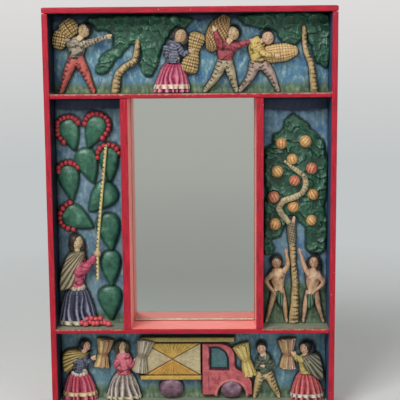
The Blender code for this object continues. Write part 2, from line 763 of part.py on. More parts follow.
relief_piece("truck_cab", dress_pink, bottom, [slab([
    (156.2, 4), (156.2, 62.8), (177.6, 62.8), (185.6, 60), (192, 50), (193.6, 34), (205.6, 27),
    (211, 19), (212, 4), *wheel_arch((188.6, 4), 15.5),
], CAB_THICK, CROWN_ROUND)], carved=[slab([
    (164.6, 33.5), (164.6, 59), (173.6, 59), (182.6, 53), (185.6, 43), (185.6, 33.5),
], CAB_THICK * 2, out=CAB_THICK - WINDOW_DEEP)])
relief_piece("front_wheel", wheel_violet, bottom, [ball((188.6, 10, WHEEL_OUT), (12, 7, 9.6))])
relief_piece("grey_shawl_woman", dress_pink, bottom, person(
    (269, 57), (271, 43), (271, 30),
    [((267, 44), (261, 46), (256.5, 51)), ((272, 43), (270, 37), (262, 41))],
    dress=((272, 1), 6.4, 17.5), hair=(1.8, 1.6),
) + [slab([
    (266.6, 48), (276, 52), (285, 49.5), (290, 33), (289.6, 21), (283.6, 22), (271, 37),
], SHAWL_THICK, CROWN_ROUND)])
relief_piece("fourth_sheaf", straw, bottom, [bundle(
    [(251, 67), (251, 59), (252, 49.5), (251, 42), (250.5, 33)], [8, 7, 4.4, 6.6, 8.6], SHEAF_FLAT
)])
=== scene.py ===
# %% [markdown]
# # A folk art mirror of painted paste
# A crimson slat frame holds a looking glass and four shallow boxes. In each box a scene is modelled
# in potato-and-gypsum paste, pressed on a painted ground and coloured with matt tempera.
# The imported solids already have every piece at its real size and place. This lesson models the same
# pieces again with the folds, straws, leaves and brush marks that a maker's hands leave.

# %% Frame, units and the box to stay inside
import itertools
import math

import bpy
import numpy as np
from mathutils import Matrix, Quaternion, Vector
from mathutils.kdtree import KDTree


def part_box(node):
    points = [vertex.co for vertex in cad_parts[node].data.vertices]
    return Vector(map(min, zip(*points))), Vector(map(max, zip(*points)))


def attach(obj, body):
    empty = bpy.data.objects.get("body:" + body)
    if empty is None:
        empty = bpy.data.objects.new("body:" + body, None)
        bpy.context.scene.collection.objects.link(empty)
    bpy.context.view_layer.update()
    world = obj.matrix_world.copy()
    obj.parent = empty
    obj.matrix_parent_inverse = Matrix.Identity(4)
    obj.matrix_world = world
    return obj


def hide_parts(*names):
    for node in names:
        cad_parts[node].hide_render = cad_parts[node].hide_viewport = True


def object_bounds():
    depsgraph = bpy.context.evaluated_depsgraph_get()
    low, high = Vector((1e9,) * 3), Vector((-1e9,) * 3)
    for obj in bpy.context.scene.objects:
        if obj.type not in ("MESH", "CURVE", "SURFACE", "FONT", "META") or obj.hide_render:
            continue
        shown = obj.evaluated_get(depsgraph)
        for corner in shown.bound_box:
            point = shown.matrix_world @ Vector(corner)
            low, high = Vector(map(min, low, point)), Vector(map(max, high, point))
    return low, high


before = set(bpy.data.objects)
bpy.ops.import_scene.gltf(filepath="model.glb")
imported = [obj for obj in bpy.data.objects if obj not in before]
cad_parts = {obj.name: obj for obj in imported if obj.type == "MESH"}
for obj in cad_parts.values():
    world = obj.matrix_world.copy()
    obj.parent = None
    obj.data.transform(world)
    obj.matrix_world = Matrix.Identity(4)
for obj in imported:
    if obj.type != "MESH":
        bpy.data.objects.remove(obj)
cad_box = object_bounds()
MM = 0.001
print("solids:", len(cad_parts), "box:", [tuple(round(v, 4) for v in c) for c in cad_box])

# %% [markdown]
# ## The four boxes
# Every scene is measured in millimetres from the lower left corner of its own box: across, up, and
# out from the painted ground towards the viewer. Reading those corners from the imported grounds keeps
# the modelled figures where the solids are. Points are held inside the box, as soft paste is when it
# is pressed against a wall.

# %% Boxes
GROUND_GAP = 0.3
SEAT = 0.25


class Box:
    """One compartment; turns across, up and out in mm into places of the whole object."""

    def __init__(self, ground):
        self.ground = ground
        low, high = (np.array(corner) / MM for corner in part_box(ground))
        self.left, self.floor = low[0] - GROUND_GAP, low[2] - GROUND_GAP
        self.wide, self.high = high[0] + GROUND_GAP - self.left, high[2] + GROUND_GAP - self.floor
        self.face, self.back = low[1], high[1]
        self.modelled = []

    def place(self, points):
        return np.column_stack([
            self.left + points[:, 0], self.face - points[:, 2], self.floor + points[:, 1]
        ])

    def pressed(self, points):
        """Holds points inside the walls and in front of the ground."""
        low = (GROUND_GAP, GROUND_GAP, SEAT)
        high = (self.wide - GROUND_GAP, self.high - GROUND_GAP, np.inf)
        return np.clip(points, low, high)


top, bottom, left, right = (
    Box(f"{side}_ground") for side in ("top", "bottom", "left", "right")
)
for box in (top, bottom, left, right):
    print(box.ground, round(box.wide, 1), "x", round(box.high, 1), "mm")

# %% [markdown]
# ## Unevenness of hand work
# Nothing pressed and painted by hand is even. This smooth random field gives lumps, wrinkles and
# wobbly brush lines at any chosen size, and gives the same ones on every run.

# %% Random field and smooth curves
STIR = (12.9898, 78.233, 37.719)
SCRAMBLE = 4375.85453


def grain(points, bump, seed=0):
    """Smooth random heights from -1 to 1 whose bumps lie about one bump apart."""
    spots = np.asarray(points, float) / bump
    cell = np.floor(spots)
    ease = spots - cell
    ease = ease * ease * (3 - 2 * ease)
    keys = np.array(STIR)[: spots.shape[-1]]
    heights = np.zeros(spots.shape[:-1])
    for corner in itertools.product((0, 1), repeat=spots.shape[-1]):
        draw = np.sin((cell + corner) @ keys + seed) * SCRAMBLE
        share = np.where(corner, ease, 1 - ease).prod(-1)
        heights += (2 * (draw - np.floor(draw)) - 1) * share
    return heights


def smooth_path(points, fine, closed=False):
    """Points about one fine step apart on a smooth curve through the given ones."""
    points = np.asarray(points, float)
    if closed:
        padded = np.vstack([points[-1:], points, points[:2]])
    else:
        padded = np.vstack([2 * points[0] - points[1], points, 2 * points[-1] - points[-2]])
    runs = []
    for a, b, c, d in zip(padded, padded[1:], padded[2:], padded[3:]):
        steps = max(2, round(np.linalg.norm((c - b)[:3]) / fine))
        t = np.linspace(0, 1, steps, endpoint=False)[:, None]
        bend = (2 * a - 5 * b + 4 * c - d) * t**2 + (3 * b - a - 3 * c + d) * t**3
        runs.append((2 * b + (c - a) * t + bend) / 2)
    return np.vstack(runs if closed else runs + [points[-1:]])


def inside_depth(spots, outline):
    """How deep each spot lies inside a closed outline, and the outline's nearest point."""
    best = np.full(len(spots), 1e9)
    nearest = np.zeros((len(spots), 2))
    crossings = np.zeros(len(spots), int)
    for a, b in zip(outline, np.roll(outline, -1, axis=0)):
        run = b - a
        share = np.clip((spots - a) @ run / max(run @ run, 1e-12), 0, 1)
        touch = a + share[:, None] * run
        gap = np.linalg.norm(spots - touch, axis=1)
        closer = gap < best
        best[closer] = gap[closer]
        nearest[closer] = touch[closer]
        if a[1] != b[1]:
            over = (a[1] > spots[:, 1]) != (b[1] > spots[:, 1])
            crossings += over & (spots[:, 0] < a[0] + (spots[:, 1] - a[1]) / run[1] * run[0])
    return np.where(crossings % 2 == 1, best, -best), nearest


print("two heights of the field:", grain([(0.3, 0.7), (4.1, 2.2)], 2.0).round(3))

# %% [markdown]
# ## Pressing shapes together
# A figure of paste is several closed shapes pressed into one. They could be joined with booleans, but a
# maker leaves them as they lie, so a class just collects them for one piece. Each shape keeps a paint, a
# map in millimetres for painted dashes, and a value for each spot: dark wash gathers in hollows, with
# painted shade there too, and what stands proud gets a dry brush and a painted highlight.

# %% Pieces of paste
CREASE_ANGLE = 50


def store(mesh, name, values, kind="FLOAT", field="value"):
    """Keeps a value for each point of a mesh under a name that node trees can read."""
    attribute = mesh.attributes.new(name, kind, "POINT")
    attribute.data.foreach_set(field, np.asarray(values, np.float32).ravel())


class Paste:
    """Shapes pressed together into one piece, each with its own paint. A face is four corners,
    and a three-cornered one ends in -1."""

    def __init__(self, box=None, pressed=True):
        self.box, self.pressed = box, pressed
        self.points, self.hollow, self.faces, self.maps, self.paints = [], [], [], [], []
        self.count = 0

    def graft(self, points, faces, paint, hollow=None, maps=None):
        """Adds a closed shape, turned so that its faces look outwards."""
        points, faces = np.asarray(points, float), np.asarray(faces)
        maps = np.zeros((*faces.shape, 2)) if maps is None else np.asarray(maps, float)
        a, b, c, d = (points[np.where(faces[:, i] < 0, faces[:, 2], faces[:, i])] for i in range(4))
        middle = points.mean(0)
        volume = np.einsum("ij,ij", a - middle, np.cross(b - middle, c - middle))
        volume += np.einsum("ij,ij", a - middle, np.cross(c - middle, d - middle))
        if volume < 0:
            faces, maps = faces.copy(), maps.copy()
            four = faces[:, 3] >= 0
            for values in (faces, maps):
                values[four] = values[four][:, ::-1]
                values[~four, :3] = values[~four, 2::-1]
        self.points.append(points)
        self.hollow.append(np.zeros(len(points)) if hollow is None else np.ravel(hollow))
        self.faces.append(np.where(faces < 0, -1, faces + self.count))
        self.maps.append(maps)
        self.paints += [paint] * len(faces)
        self.count += len(points)

    def done(self, slot, *nodes, name=None):
        """Turns the shapes into one object that rides with the frame and stands for its solid."""
        points, faces = np.vstack(self.points), np.vstack(self.faces)
        if self.box:
            if self.pressed:
                points = self.box.pressed(points)
                self.box.modelled.append(points)
            points = self.box.place(points)
        name = name or nodes[0] + "_paste"
        mesh = bpy.data.meshes.new(name)
        corners = faces >= 0
        mesh.vertices.add(len(points))
        mesh.loops.add(int(corners.sum()))
        mesh.polygons.add(len(faces))
        mesh.vertices.foreach_set("co", (points * MM).ravel())
        mesh.loops.foreach_set("vertex_index", faces[corners])
        sizes = corners.sum(1)
        mesh.polygons.foreach_set("loop_start", np.concatenate([[0], np.cumsum(sizes)[:-1]]))
        finishes = list(dict.fromkeys(self.paints))
        for finish in finishes:
            mesh.materials.append(finish)
        order = {finish: i for i, finish in enumerate(finishes)}
        mesh.polygons.foreach_set("material_index", [order[finish] for finish in self.paints])
        mesh.update(calc_edges=True)
        layer = mesh.uv_layers.new(name="paint_map")
        layer.data.foreach_set("uv", np.concatenate(self.maps)[corners].ravel())
        store(mesh, "hollow", np.concatenate(self.hollow))
        mesh.shade_smooth()
        mesh.set_sharp_from_angle(angle=math.radians(CREASE_ANGLE))
        piece = bpy.data.objects.new(name, mesh)
        bpy.context.scene.collection.objects.link(piece)
        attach(piece, "root")
        if nodes:
            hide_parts(*nodes)
        print(name, len(faces), "faces")
        return piece


print("a new piece starts with", len(Paste().points), "shapes")

# %% [markdown]
# ## Rolling paste
# Limbs, trunks, baskets and heads are bars and lumps rolled under the hand: a stack of oval rings along a
# line, closed at both ends. A curve with a bevel would give the bar, but not its own surface, so here a
# rule can say how far the paste stands out at each place.

# %% Rolled paste
RING_LEAST, RING_MOST = 12, 90
SKIN_WOBBLE, SKIN_BUMP = 0.12, 2.3
END_BEND = np.radians((78, 52, 26))


class RolledPaste(Paste):
    """Paste with bars and lumps."""

    def wrap(self, rings, paint, hollow, around, along):
        """Closed skin over a stack of rings of points; around has one more column than the rings."""
        n, m = rings.shape[:2]
        points = np.vstack([rings.reshape(-1, 3), rings[0].mean(0), rings[-1].mean(0)])
        dark = np.concatenate([hollow.ravel(), [hollow[0].mean(), hollow[-1].mean()]])
        ids = np.arange(n * m).reshape(n, m)
        ids = np.column_stack([ids, ids[:, 0]])
        spots = np.dstack([around, np.broadcast_to(np.asarray(along)[:, None], around.shape)])
        faces = [np.dstack([ids[:-1, :-1], ids[1:, :-1], ids[1:, 1:], ids[:-1, 1:]]).reshape(-1, 4)]
        maps = [np.stack(
            [spots[:-1, :-1], spots[1:, :-1], spots[1:, 1:], spots[:-1, 1:]], 2
        ).reshape(-1, 4, 2)]
        for i, pole, flip in ((0, n * m, 1), (n - 1, n * m + 1, -1)):
            pair = np.column_stack([ids[i, :-1], ids[i, 1:]])[:, ::flip]
            ends = np.stack([spots[i, :-1], spots[i, 1:]], 1)[:, ::flip]
            hub = (ends[:, :1] + ends[:, 1:]) / 2
            faces.append(np.column_stack([np.full(m, pole), pair, np.full(m, -1)]))
            maps.append(np.concatenate([hub, ends, hub], 1))
        self.graft(points, np.vstack(faces), paint, dark, np.concatenate(maps))

    def skin(self, centre, side, front, wide, deep, paint, form=None, fine=0.85):
        """Stack of oval rings; form gives how far the paste stands out, in mm."""
        sides = int(np.clip(2 * math.pi * max(wide.max(), deep.max()) / fine, RING_LEAST, RING_MOST))
        turn = np.linspace(-0.5, 1.5, sides + 1) * math.pi
        step = np.linalg.norm(np.diff(centre, axis=0), axis=1)
        along = np.concatenate([[0], np.cumsum(np.maximum(step, 1e-4))])
        u = np.broadcast_to(turn - math.pi / 2, (len(centre), sides + 1))
        v = np.broadcast_to(along[:, None], u.shape)
        swell = form(u, v, v / along[-1]) if form else np.zeros(u.shape)
        round_spots = np.dstack([np.cos(u) * 4, np.sin(u) * 4, v + centre[0, 0]])
        swell = (swell + SKIN_WOBBLE * grain(round_spots, SKIN_BUMP))[:, :-1]
        swell = swell * np.minimum(1, wide / max(0.3 * wide.max(), 1e-6))[:, None]
        c, s = np.cos(turn[:-1])[None, :, None], np.sin(turn[:-1])[None, :, None]
        rings = centre[:, None] + side[:, None] * c * (wide[:, None] + swell)[..., None]
        rings = rings + front[:, None] * s * (deep[:, None] + swell)[..., None]
        # Paste that sinks takes wash and painted shade; paste that swells takes a painted highlight.
        self.wrap(rings, paint, -swell / max(0.6, np.abs(swell).max()), u * wide.mean(), along)

    def roll(self, path, radii, paint, flat=1.0, form=None, fine=0.9, blunt=(0.6, 0.6)):
        """Tapered bar of paste along a path, with rounded ends."""
        line = smooth_path(np.column_stack([path, radii]), fine)
        centre, radius = line[:, :3], np.maximum(line[:, 3], 0.15)
        along = np.gradient(centre, axis=0)
        along /= np.linalg.norm(along, axis=1)[:, None]
        reach = np.sin(END_BEND)[:, None]
        head = centre[0] - along[0] * radius[0] * blunt[0] * reach
        tail = centre[-1] + along[-1] * radius[-1] * blunt[1] * reach[::-1]
        centre = np.vstack([head, centre, tail])
        ease = np.cos(END_BEND)
        radius = np.concatenate([radius[0] * ease, radius, radius[-1] * ease[::-1]])
        along = np.vstack([along[:1]] * 3 + [along] + [along[-1:]] * 3)
        side = np.cross(along, (0, 0, 1))
        side /= np.linalg.norm(side, axis=1)[:, None]
        self.skin(centre, side, np.cross(side, along), radius, radius * flat, paint, form)

    def ball(self, centre, half, paint, form=None, lean=0.0):
        """Rounded lump with half sizes across, out and up."""
        rise = np.radians(np.linspace(-86, 86, int(np.clip(half[2] * 3.4, 9, 48))))
        tilt = math.radians(lean)
        along = np.array((math.sin(tilt), math.cos(tilt), 0))
        side = np.array((math.cos(tilt), -math.sin(tilt), 0))
        middle = np.asarray(centre, float) + np.outer(np.sin(rise) * half[2], along)
        shape = (len(rise), 3)
        self.skin(
            middle, np.broadcast_to(side, shape), np.broadcast_to((0.0, 0.0, 1.0), shape),
            np.cos(rise) * half[0], np.cos(rise) * half[1], paint, form,
        )


sample = RolledPaste()
sample.roll([(0, 0, 0), (10, 0, 0)], [2, 2], None)
print("a bar of 10 mm has", sample.count, "points")

# %% [markdown]
# ## Cutting plates
# Crowns, shawls, boards and grounds are flat plates cut to an outline. A plate is a fine grid of squares,
# its rim drawn to the outline and its face raised by a rule, so the dressing is real relief.

# %% Cut paste
class Clay(RolledPaste):
    """Paste with bars, lumps and plates."""

    def plate(self, outline, rise, paint, fine=0.8, back=SEAT):
        """Plate cut to an outline; rise gives its face's height and its wash and painted light from x, z and
        depth in.
        """
        outline = np.asarray(outline, float)
        low = outline.min(0) - fine
        steps = np.ceil((outline.max(0) + fine - low) / fine).astype(int) + 1
        spots = np.stack(np.meshgrid(
            low[0] + np.arange(steps[0]) * fine, low[1] + np.arange(steps[1]) * fine, indexing="ij"
        ), -1).reshape(-1, 2)
        depth, nearest = inside_depth(spots, outline)
        rim = np.abs(depth) < 0.6 * fine
        spots[rim], depth[rim] = nearest[rim], 0
        ids = np.arange(len(spots)).reshape(steps)
        cells = np.stack([ids[:-1, :-1], ids[1:, :-1], ids[1:, 1:], ids[:-1, 1:]], -1).reshape(-1, 4)
        kept = depth[cells] >= 0
        three = kept.sum(1) == 3
        corners = cells[three][kept[three]].reshape(-1, 3)
        front = np.vstack([cells[kept.all(1)], np.column_stack([corners, np.full(len(corners), -1)])])
        used = np.unique(front[front >= 0])
        renumber = np.full(len(spots), -1)
        renumber[used] = np.arange(len(used))
        front = np.where(front < 0, -1, renumber[front])
        spots, n = spots[used], len(used)
        height, hollow = rise(spots[:, 0], spots[:, 1], depth[used])
        height = np.maximum(height, back + 0.05)
        last = np.where(front[:, 3] < 0, 2, 3)
        after = np.column_stack([front[:, 1], front[:, 2], front[:, 3], front[:, 0]])
        after[np.arange(len(front)), last] = front[:, 0]
        pairs = np.column_stack([front.ravel(), after.ravel()])[front.ravel() >= 0]
        _, first, uses = np.unique(np.sort(pairs, 1), axis=0, return_index=True, return_counts=True)
        a, b = pairs[first[uses == 1]].T
        rear = np.where(front < 0, -1, front + n)
        four = rear[:, 3] >= 0
        rear[four], rear[~four, :3] = rear[four][:, ::-1], rear[~four, 2::-1]
        faces = np.vstack([front, rear, np.column_stack([a, a + n, b + n, b])])
        points = np.vstack([np.column_stack([spots, height]), np.column_stack([spots, np.full(n, back)])])
        dark = np.concatenate([hollow, np.full(n, 0.6)])
        self.graft(points, faces, paint, dark, spots[np.where(faces < 0, 0, faces % n)])


sample = Clay()
sample.plate([(0, 0), (8, 0), (8, 5), (0, 5)], lambda x, z, depth: (depth + 2, 0 * depth), None)
print("a plate of 8 x 5 mm has", sample.count, "points")

# %% [markdown]
# ## Colours and one node helper
# Colours are written as they look on the painted object and turned to linear light once. Materials are
# node trees: one small function adds a node with its settings and links. A painter works in coats, so a
# second function lays one colour over another where a value such as height or wear says so.

# %% Colour and nodes
def linear(colour):
    """Linear colour of an sRGB hex value."""
    parts = [int(colour[i:i + 2], 16) / 255 for i in (1, 3, 5)]
    return (*[p / 12.92 if p <= 0.04045 else ((p + 0.055) / 1.055) ** 2.4 for p in parts], 1.0)


def add(tree, kind, inputs=(), out=None, **settings):
    """Adds a node; a kind without Node in it is a shader node. Each input is a value or another node's
    output. Gives all outputs, the named one, or else the first one that these settings leave in use."""
    node = tree.nodes.new(kind if "Node" in kind else "ShaderNode" + kind)
    for name, value in settings.items():
        setattr(node, name, value)
    for name, value in dict(inputs).items():
        if isinstance(value, bpy.types.NodeSocket):
            tree.links.new(value, node.inputs[name])
        else:
            node.inputs[name].default_value = value
    if out == "all":
        return node.outputs
    return node.outputs[out] if out else next((end for end in node.outputs if end.enabled), None)


def finish_for(name, roughness, **shader_values):
    """New material with its node tree and shader; plain values go straight on the shader."""
    material = bpy.data.materials.new(name)
    material.use_nodes = True
    shader = material.node_tree.nodes["Principled BSDF"]
    shader.inputs["Roughness"].default_value = roughness
    for title, value in shader_values.items():
        shader.inputs[title.replace("_", " ")].default_value = value
    return material, material.node_tree, shader


def wire(shader, **ends):
    """Links outputs to a shader's inputs, with _ for a space in an input's name."""
    for title, end in ends.items():
        shader.id_data.links.new(end, shader.inputs[title.replace("_", " ")])


def coat(tree, base, colour, value, low, high, most=1.0, noise=None, stir=0.0):
    """Lays a colour over a base as a value goes from low to high; noise can stir the edge."""
    if stir:
        value = add(tree, "Math", {0: noise, 1: stir, 2: value}, operation="MULTIPLY_ADD")
    mask = add(tree, "MapRange", {"Value": value, "From Min": low, "From Max": high, "To Max": most})
    base, colour = (linear(tone) if isinstance(tone, str) else tone for tone in (base, colour))
    return add(tree, "Mix", {0: mask, 6: base, 7: colour}, data_type="RGBA")


print("middle grey in linear light:", round(linear("#808080")[0], 3))

# %% [markdown]
# ## Tempera on paste
# The figures are gypsum paste, sealed and painted with matt tempera. The eye gets a chalky colour
# that changes in small patches, dark brown in the hollows and where two forms meet, partly a real wash
# and partly painted shade, a paler colour on what stands proud, partly dry brush and partly a painted
# highlight, and dashes or stripes drawn with a fine brush. All of these share one recipe, so a single
# function makes every paint, with marks as an option: dashes lie across a limb, stripes run along it.
# The grain of a fine brush is a few tenths of a millimetre, which is too fine for the picture, so it is
# drawn at 1 mm.

# %% Tempera
PATCH = 5.0
HAND_WOBBLE = 3.0
BRUSH_GRAIN = 1.0
CREASE = 2.4
WASH_AND_SHADE_MIX = 0.85
LINE_WOBBLE, END_WOBBLE = 1.8, 2.4
LINE_EDGE = (0.66, 0.34)
END_EDGE = 0.45
GLOSS_RANGE = 0.14


def brush_marks(tree, hand, pitch, width, *ends):
    """Mask of hand-drawn lines: dashes across a piece between two ends on it, or stripes all along it."""
    around, along, _ = add(tree, "SeparateXYZ", {0: add(tree, "UVMap", uv_map="paint_map")}, out="all")
    place = along if ends else around
    wobble = add(tree, "Math", {0: hand, 1: LINE_WOBBLE, 2: place}, operation="MULTIPLY_ADD")
    beat = add(tree, "Math", {0: wobble, 1: pitch / 2}, operation="PINGPONG")
    mark = add(tree, "MapRange", {
        "Value": beat, "From Min": width * LINE_EDGE[0], "From Max": width * LINE_EDGE[1],
    })
    if not ends:
        return mark
    start, finish = ends
    drift = add(tree, "Math", {0: hand, 1: END_WOBBLE, 2: around}, operation="MULTIPLY_ADD")
    middle, reach = (END_WOBBLE + start + finish) / 2, (finish - start) / 2
    away = add(tree, "Math", {0: drift, 1: middle}, operation="SUBTRACT")
    away = add(tree, "Math", {0: away}, operation="ABSOLUTE")
    within = add(tree, "MapRange", {
        "Value": away, "From Min": reach + END_EDGE, "From Max": reach - END_EDGE,
    })
    return add(tree, "Math", {0: mark, 1: within}, operation="MULTIPLY")


def tempera(name, colour, shade, light, roughness=0.56, marks=None, wash_and_shade_tone="#1c1716"):
    """Matt paint on paste; marks are dashes (pitch, width, from, to, colour) or stripes (pitch, width,
    colour), in mm."""
    name = "tempera_" + name
    material, tree, shader = finish_for(name, roughness, IOR=1.48, Coat_Weight=0.08, Coat_Roughness=0.4)
    spot = add(tree, "TexCoord", out="Object")
    hollow = add(tree, "Attribute", out="Fac", attribute_name="hollow")
    patch, hand, fine = (
        add(tree, "TexNoise", {
            "Vector": spot, "Scale": 1 / (size * MM), "Detail": detail, "Roughness": 0.66,
        }) for size, detail in ((PATCH, 6.0), (HAND_WOBBLE, 1.0), (BRUSH_GRAIN, 3.0))
    )
    body = coat(tree, colour, shade, patch, 0.42, 0.66)
    if marks:
        *drawing, drawn = marks
        body = coat(tree, body, drawn, brush_marks(tree, hand, *drawing), 0.0, 1.0)
    level = add(tree, "Math", {0: fine, 1: hollow}, operation="ADD")
    # Pale colour on what stands proud: partly dry brush, partly a painted highlight.
    dry_brush_and_highlight = coat(tree, body, light, level, 0.3, -0.25, 0.85)
    # Dark colour in hollows and, through ambient occlusion, where forms meet: partly a real wash, partly
    # painted shade.
    open_sky = add(tree, "AmbientOcclusion", {"Distance": CREASE * MM}, out="AO", samples=4)
    hollow_wash_and_shade, crease_wash_and_shade = (
        add(tree, "MapRange", {"Value": value, "From Min": low, "From Max": high, "To Max": WASH_AND_SHADE_MIX})
        for value, low, high in ((level, 0.56, 1.1), (open_sky, 0.68, 0.3))
    )
    dark = add(tree, "Math", {0: hollow_wash_and_shade, 1: crease_wash_and_shade}, operation="MAXIMUM")
    sheen = add(tree, "MapRange", {
        "Value": patch, "To Min": roughness - GLOSS_RANGE, "To Max": roughness + GLOSS_RANGE,
    })
    relief = add(tree, "Bump", {"Height": fine, "Strength": 0.4, "Distance": 0.12 * MM})
    wire(shader, Base_Color=coat(tree, dry_brush_and_highlight, wash_and_shade_tone, dark, 0.0, 1.0), Roughness=sheen, Normal=relief)
    return material


INK = "#241d1b"
pale_skin = tempera("pale_skin", "#cbb48c", "#b59b72", "#dfcdaa")
tan_skin = tempera("tan_skin", "#c9a985", "#b08d68", "#dec5a3")
rose_skin = tempera("rose_skin", "#d2ad90", "#bb9275", "#e4c9b0")
black_hair = tempera("black_hair", "#1d191c", "#131114", "#423b3f", 0.5)
brown_hair = tempera("brown_hair", "#33261f", "#201816", "#5d4a40", 0.5)
ink = tempera("ink", "#231d1b", "#14110f", "#3c3430")
cheek_red = tempera("cheek_red", "#b5684f", "#a85842", "#c88468")
print("first paints:", len(bpy.data.materials))

# %% [markdown]
# ## Forms that a tool presses in
# Cloth folds, pleats, woven baskets, straw and bark are the same bar of paste with a different
# surface. Each is a short rule that says how far the paste stands out at an angle round the bar
# and a distance along it, so the relief is real geometry, and the wash and painted shade know where
# the hollows are, and the painted highlight knows where the paste stands proud.

# %% Surface rules
LIMB_ROUND = 6.0


def cloth_folds(deep, seed):
    """Slanting wrinkles of a jacket or sleeve, a few millimetres apart and longer than wide."""

    def form(u, v, share):
        over = u * LIMB_ROUND
        slant = np.dstack([(over * 0.55 + v * 0.83) / 2.6, (v * 0.55 - over * 0.83) / 9])
        bulge = np.clip(np.abs(grain(slant, 1.0, seed)) * 3.4, 0, 1)
        return deep * (1.7 * bulge - 1.1)

    return form


def lumps(deep, bump, seed=0.0):
    """Plain uneven paste."""

    def form(u, v, share):
        return deep * grain(np.dstack([u * LIMB_ROUND, v]), bump, seed)

    return form


def ring_notches(pitch, deep, seed=0.0):
    """Short cuts across a trunk or a segmented bar."""

    def form(u, v, share):
        wave = v + 1.1 * grain(np.dstack([u, v]), 2.0, seed)
        cut = np.clip(1 - np.abs((wave / pitch) % 1 - 0.5) * pitch / 0.7, 0, 1)
        reach = np.clip(1.6 - np.abs(u + 0.3), 0, 1)
        return -deep * cut * reach + 0.2 * grain(np.dstack([u * 2, v]), 2.5, seed + 1)

    return form


def strands(count, deep, twist=0.0, seed=0.0):
    """Straws or hair that run along the piece."""

    def form(u, v, share):
        wander = u + twist * v + 0.10 * grain(np.dstack([u * 3, v * 0.25]), 1.0, seed)
        ridge = np.abs(np.cos(wander * count / 2))
        return deep * (2 * ridge**0.7 - 1.2) + 0.3 * deep * grain(np.dstack([u * 6, v]), 3.0, seed + 2)

    return form


def basket_weave(count, pitch, deep, slant=0.0):
    """Flat straws that pass over and under each other round a basket."""

    def form(u, v, share):
        column = u * count / (2 * math.pi) + slant * v / pitch
        row = v / pitch - slant * column
        over = np.cos(np.floor(column) * math.pi) * np.cos(np.floor(row) * math.pi)
        across, along = np.sin((column % 1) * math.pi), np.sin((row % 1) * math.pi)
        straw = np.where(over > 0, across * np.sqrt(along), along * np.sqrt(across))
        return deep * (2.2 * np.clip(1.25 * straw, 0, 1) - 1.2)

    return form


def kernels(count, pitch, deep):
    """Rows of small blocks, as on a cob."""

    def form(u, v, share):
        block = np.abs(np.sin(u * count / 2)) * np.abs(np.sin(v * math.pi / pitch))
        return deep * (2 * block**0.45 - 1.3)

    return form


def pleats(count, deep, seed=0.0):
    """Skirt pleats that open towards the hem, where share is 0."""

    def form(u, v, share):
        sway = u + 0.16 * grain(np.dstack([u * 2, v * 0.06]), 1.0, seed)
        ridge = np.abs(np.cos(sway * count / 2))
        return deep * (1.1 - share * 0.7) * (2 * ridge - 1.15)

    return form


def ruffle(count, deep, seed=0.0):
    """Gathered frill."""

    def form(u, v, share):
        sway = u * count + 2.2 * grain(np.dstack([u * 2.5, v * 0.1]), 1.0, seed)
        return deep * np.sin(sway) * (1.2 - share * 0.7)

    return form


turns = np.linspace(-math.pi, math.pi, 400)[None]
for rule in (basket_weave(20, 3.2, 0.75), pleats(16, 1.4), strands(26, 0.28)):
    heights = rule(turns, turns * 3, turns * 0)
    low, high = heights.min().round(2), heights.max().round(2)
    print(rule.__qualname__.split(".")[0], "stands", low, "to", high, "mm")

# %% [markdown]
# ## Faces, hands and collars
# The people are dolls by one maker, and small rolls and dots pressed on an egg make every face: a pinched
# nose, eyes, thin brows, cheeks and a short mouth. A hand is a mitten with a thumb. They could be
# sculpted one by one; made by rule they stay alike, and belong to nobody.

# %% Face, hand and collar
HEAD, HEAD_OUT = (6.2, 5.4, 7.3), 5.6
HAND = 2.6
NECK, SHOULDER, CHEST = 3.4, 6.4, 8.6
BODY_FLAT, BODY_OUT = 0.72, 4.6


def face(clay, head, size, turn, skin):
    """Nose, eyes, brows, cheeks and mouth on the egg of the head, which looks turn degrees aside."""
    half = np.array((HEAD[0], HEAD[2], HEAD[1])) * size
    middle = np.array((*head, HEAD_OUT))

    def spot(aside, up, proud=0.0):
        a, b = math.radians(turn + aside), math.radians(up)
        way = np.array((math.sin(a) * math.cos(b), math.sin(b), math.cos(a) * math.cos(b)))
        return middle + way * (half + proud)

    clay.roll([spot(0, 12, -0.3), spot(0, 1, 0.5), spot(0, -8, 0.8)], [0.45, 0.75, 0.95], skin, fine=0.5)
    for side in (-1, 1):
        clay.ball(spot(21 * side, 9, -0.3), (0.75, 0.6, 0.55), ink)
        brow = [spot(13 * side, 21, -0.05), spot(22 * side, 24, -0.05), spot(31 * side, 19, -0.1)]
        clay.roll(brow, [0.2, 0.32, 0.2], ink, fine=0.6)
        clay.ball(spot(31 * side, -12, -1.2), (1.7, 1.4, 1.5), cheek_red)
    smile = [spot(-11, -27, -0.05), spot(0, -30, 0.1), spot(11, -27, -0.05)]
    clay.roll(smile, [0.25, 0.45, 0.25], cheek_red, fine=0.5)


def hand(clay, wrist, tip, size, skin):
    """Mitten with a thumb, reaching past the wrist."""
    reach = (tip - wrist) / max(np.linalg.norm(tip - wrist), 1e-6) * HAND * size
    aside = np.cross(reach, (0, 0, 1))
    clay.roll(
        [wrist - reach * 0.9, wrist, wrist + reach * 0.8, wrist + reach * 1.7],
        np.array((1.9, 2.3, 1.8, 0.8)) * size, skin, flat=0.7, form=strands(9, 0.18), fine=0.6,
    )
    clay.roll(
        [wrist - reach * 0.3, wrist + reach * 0.3 + aside * 0.8, wrist + reach * 0.9 + aside],
        np.array((1.1, 1.0, 0.7)) * size, skin, fine=0.6,
    )


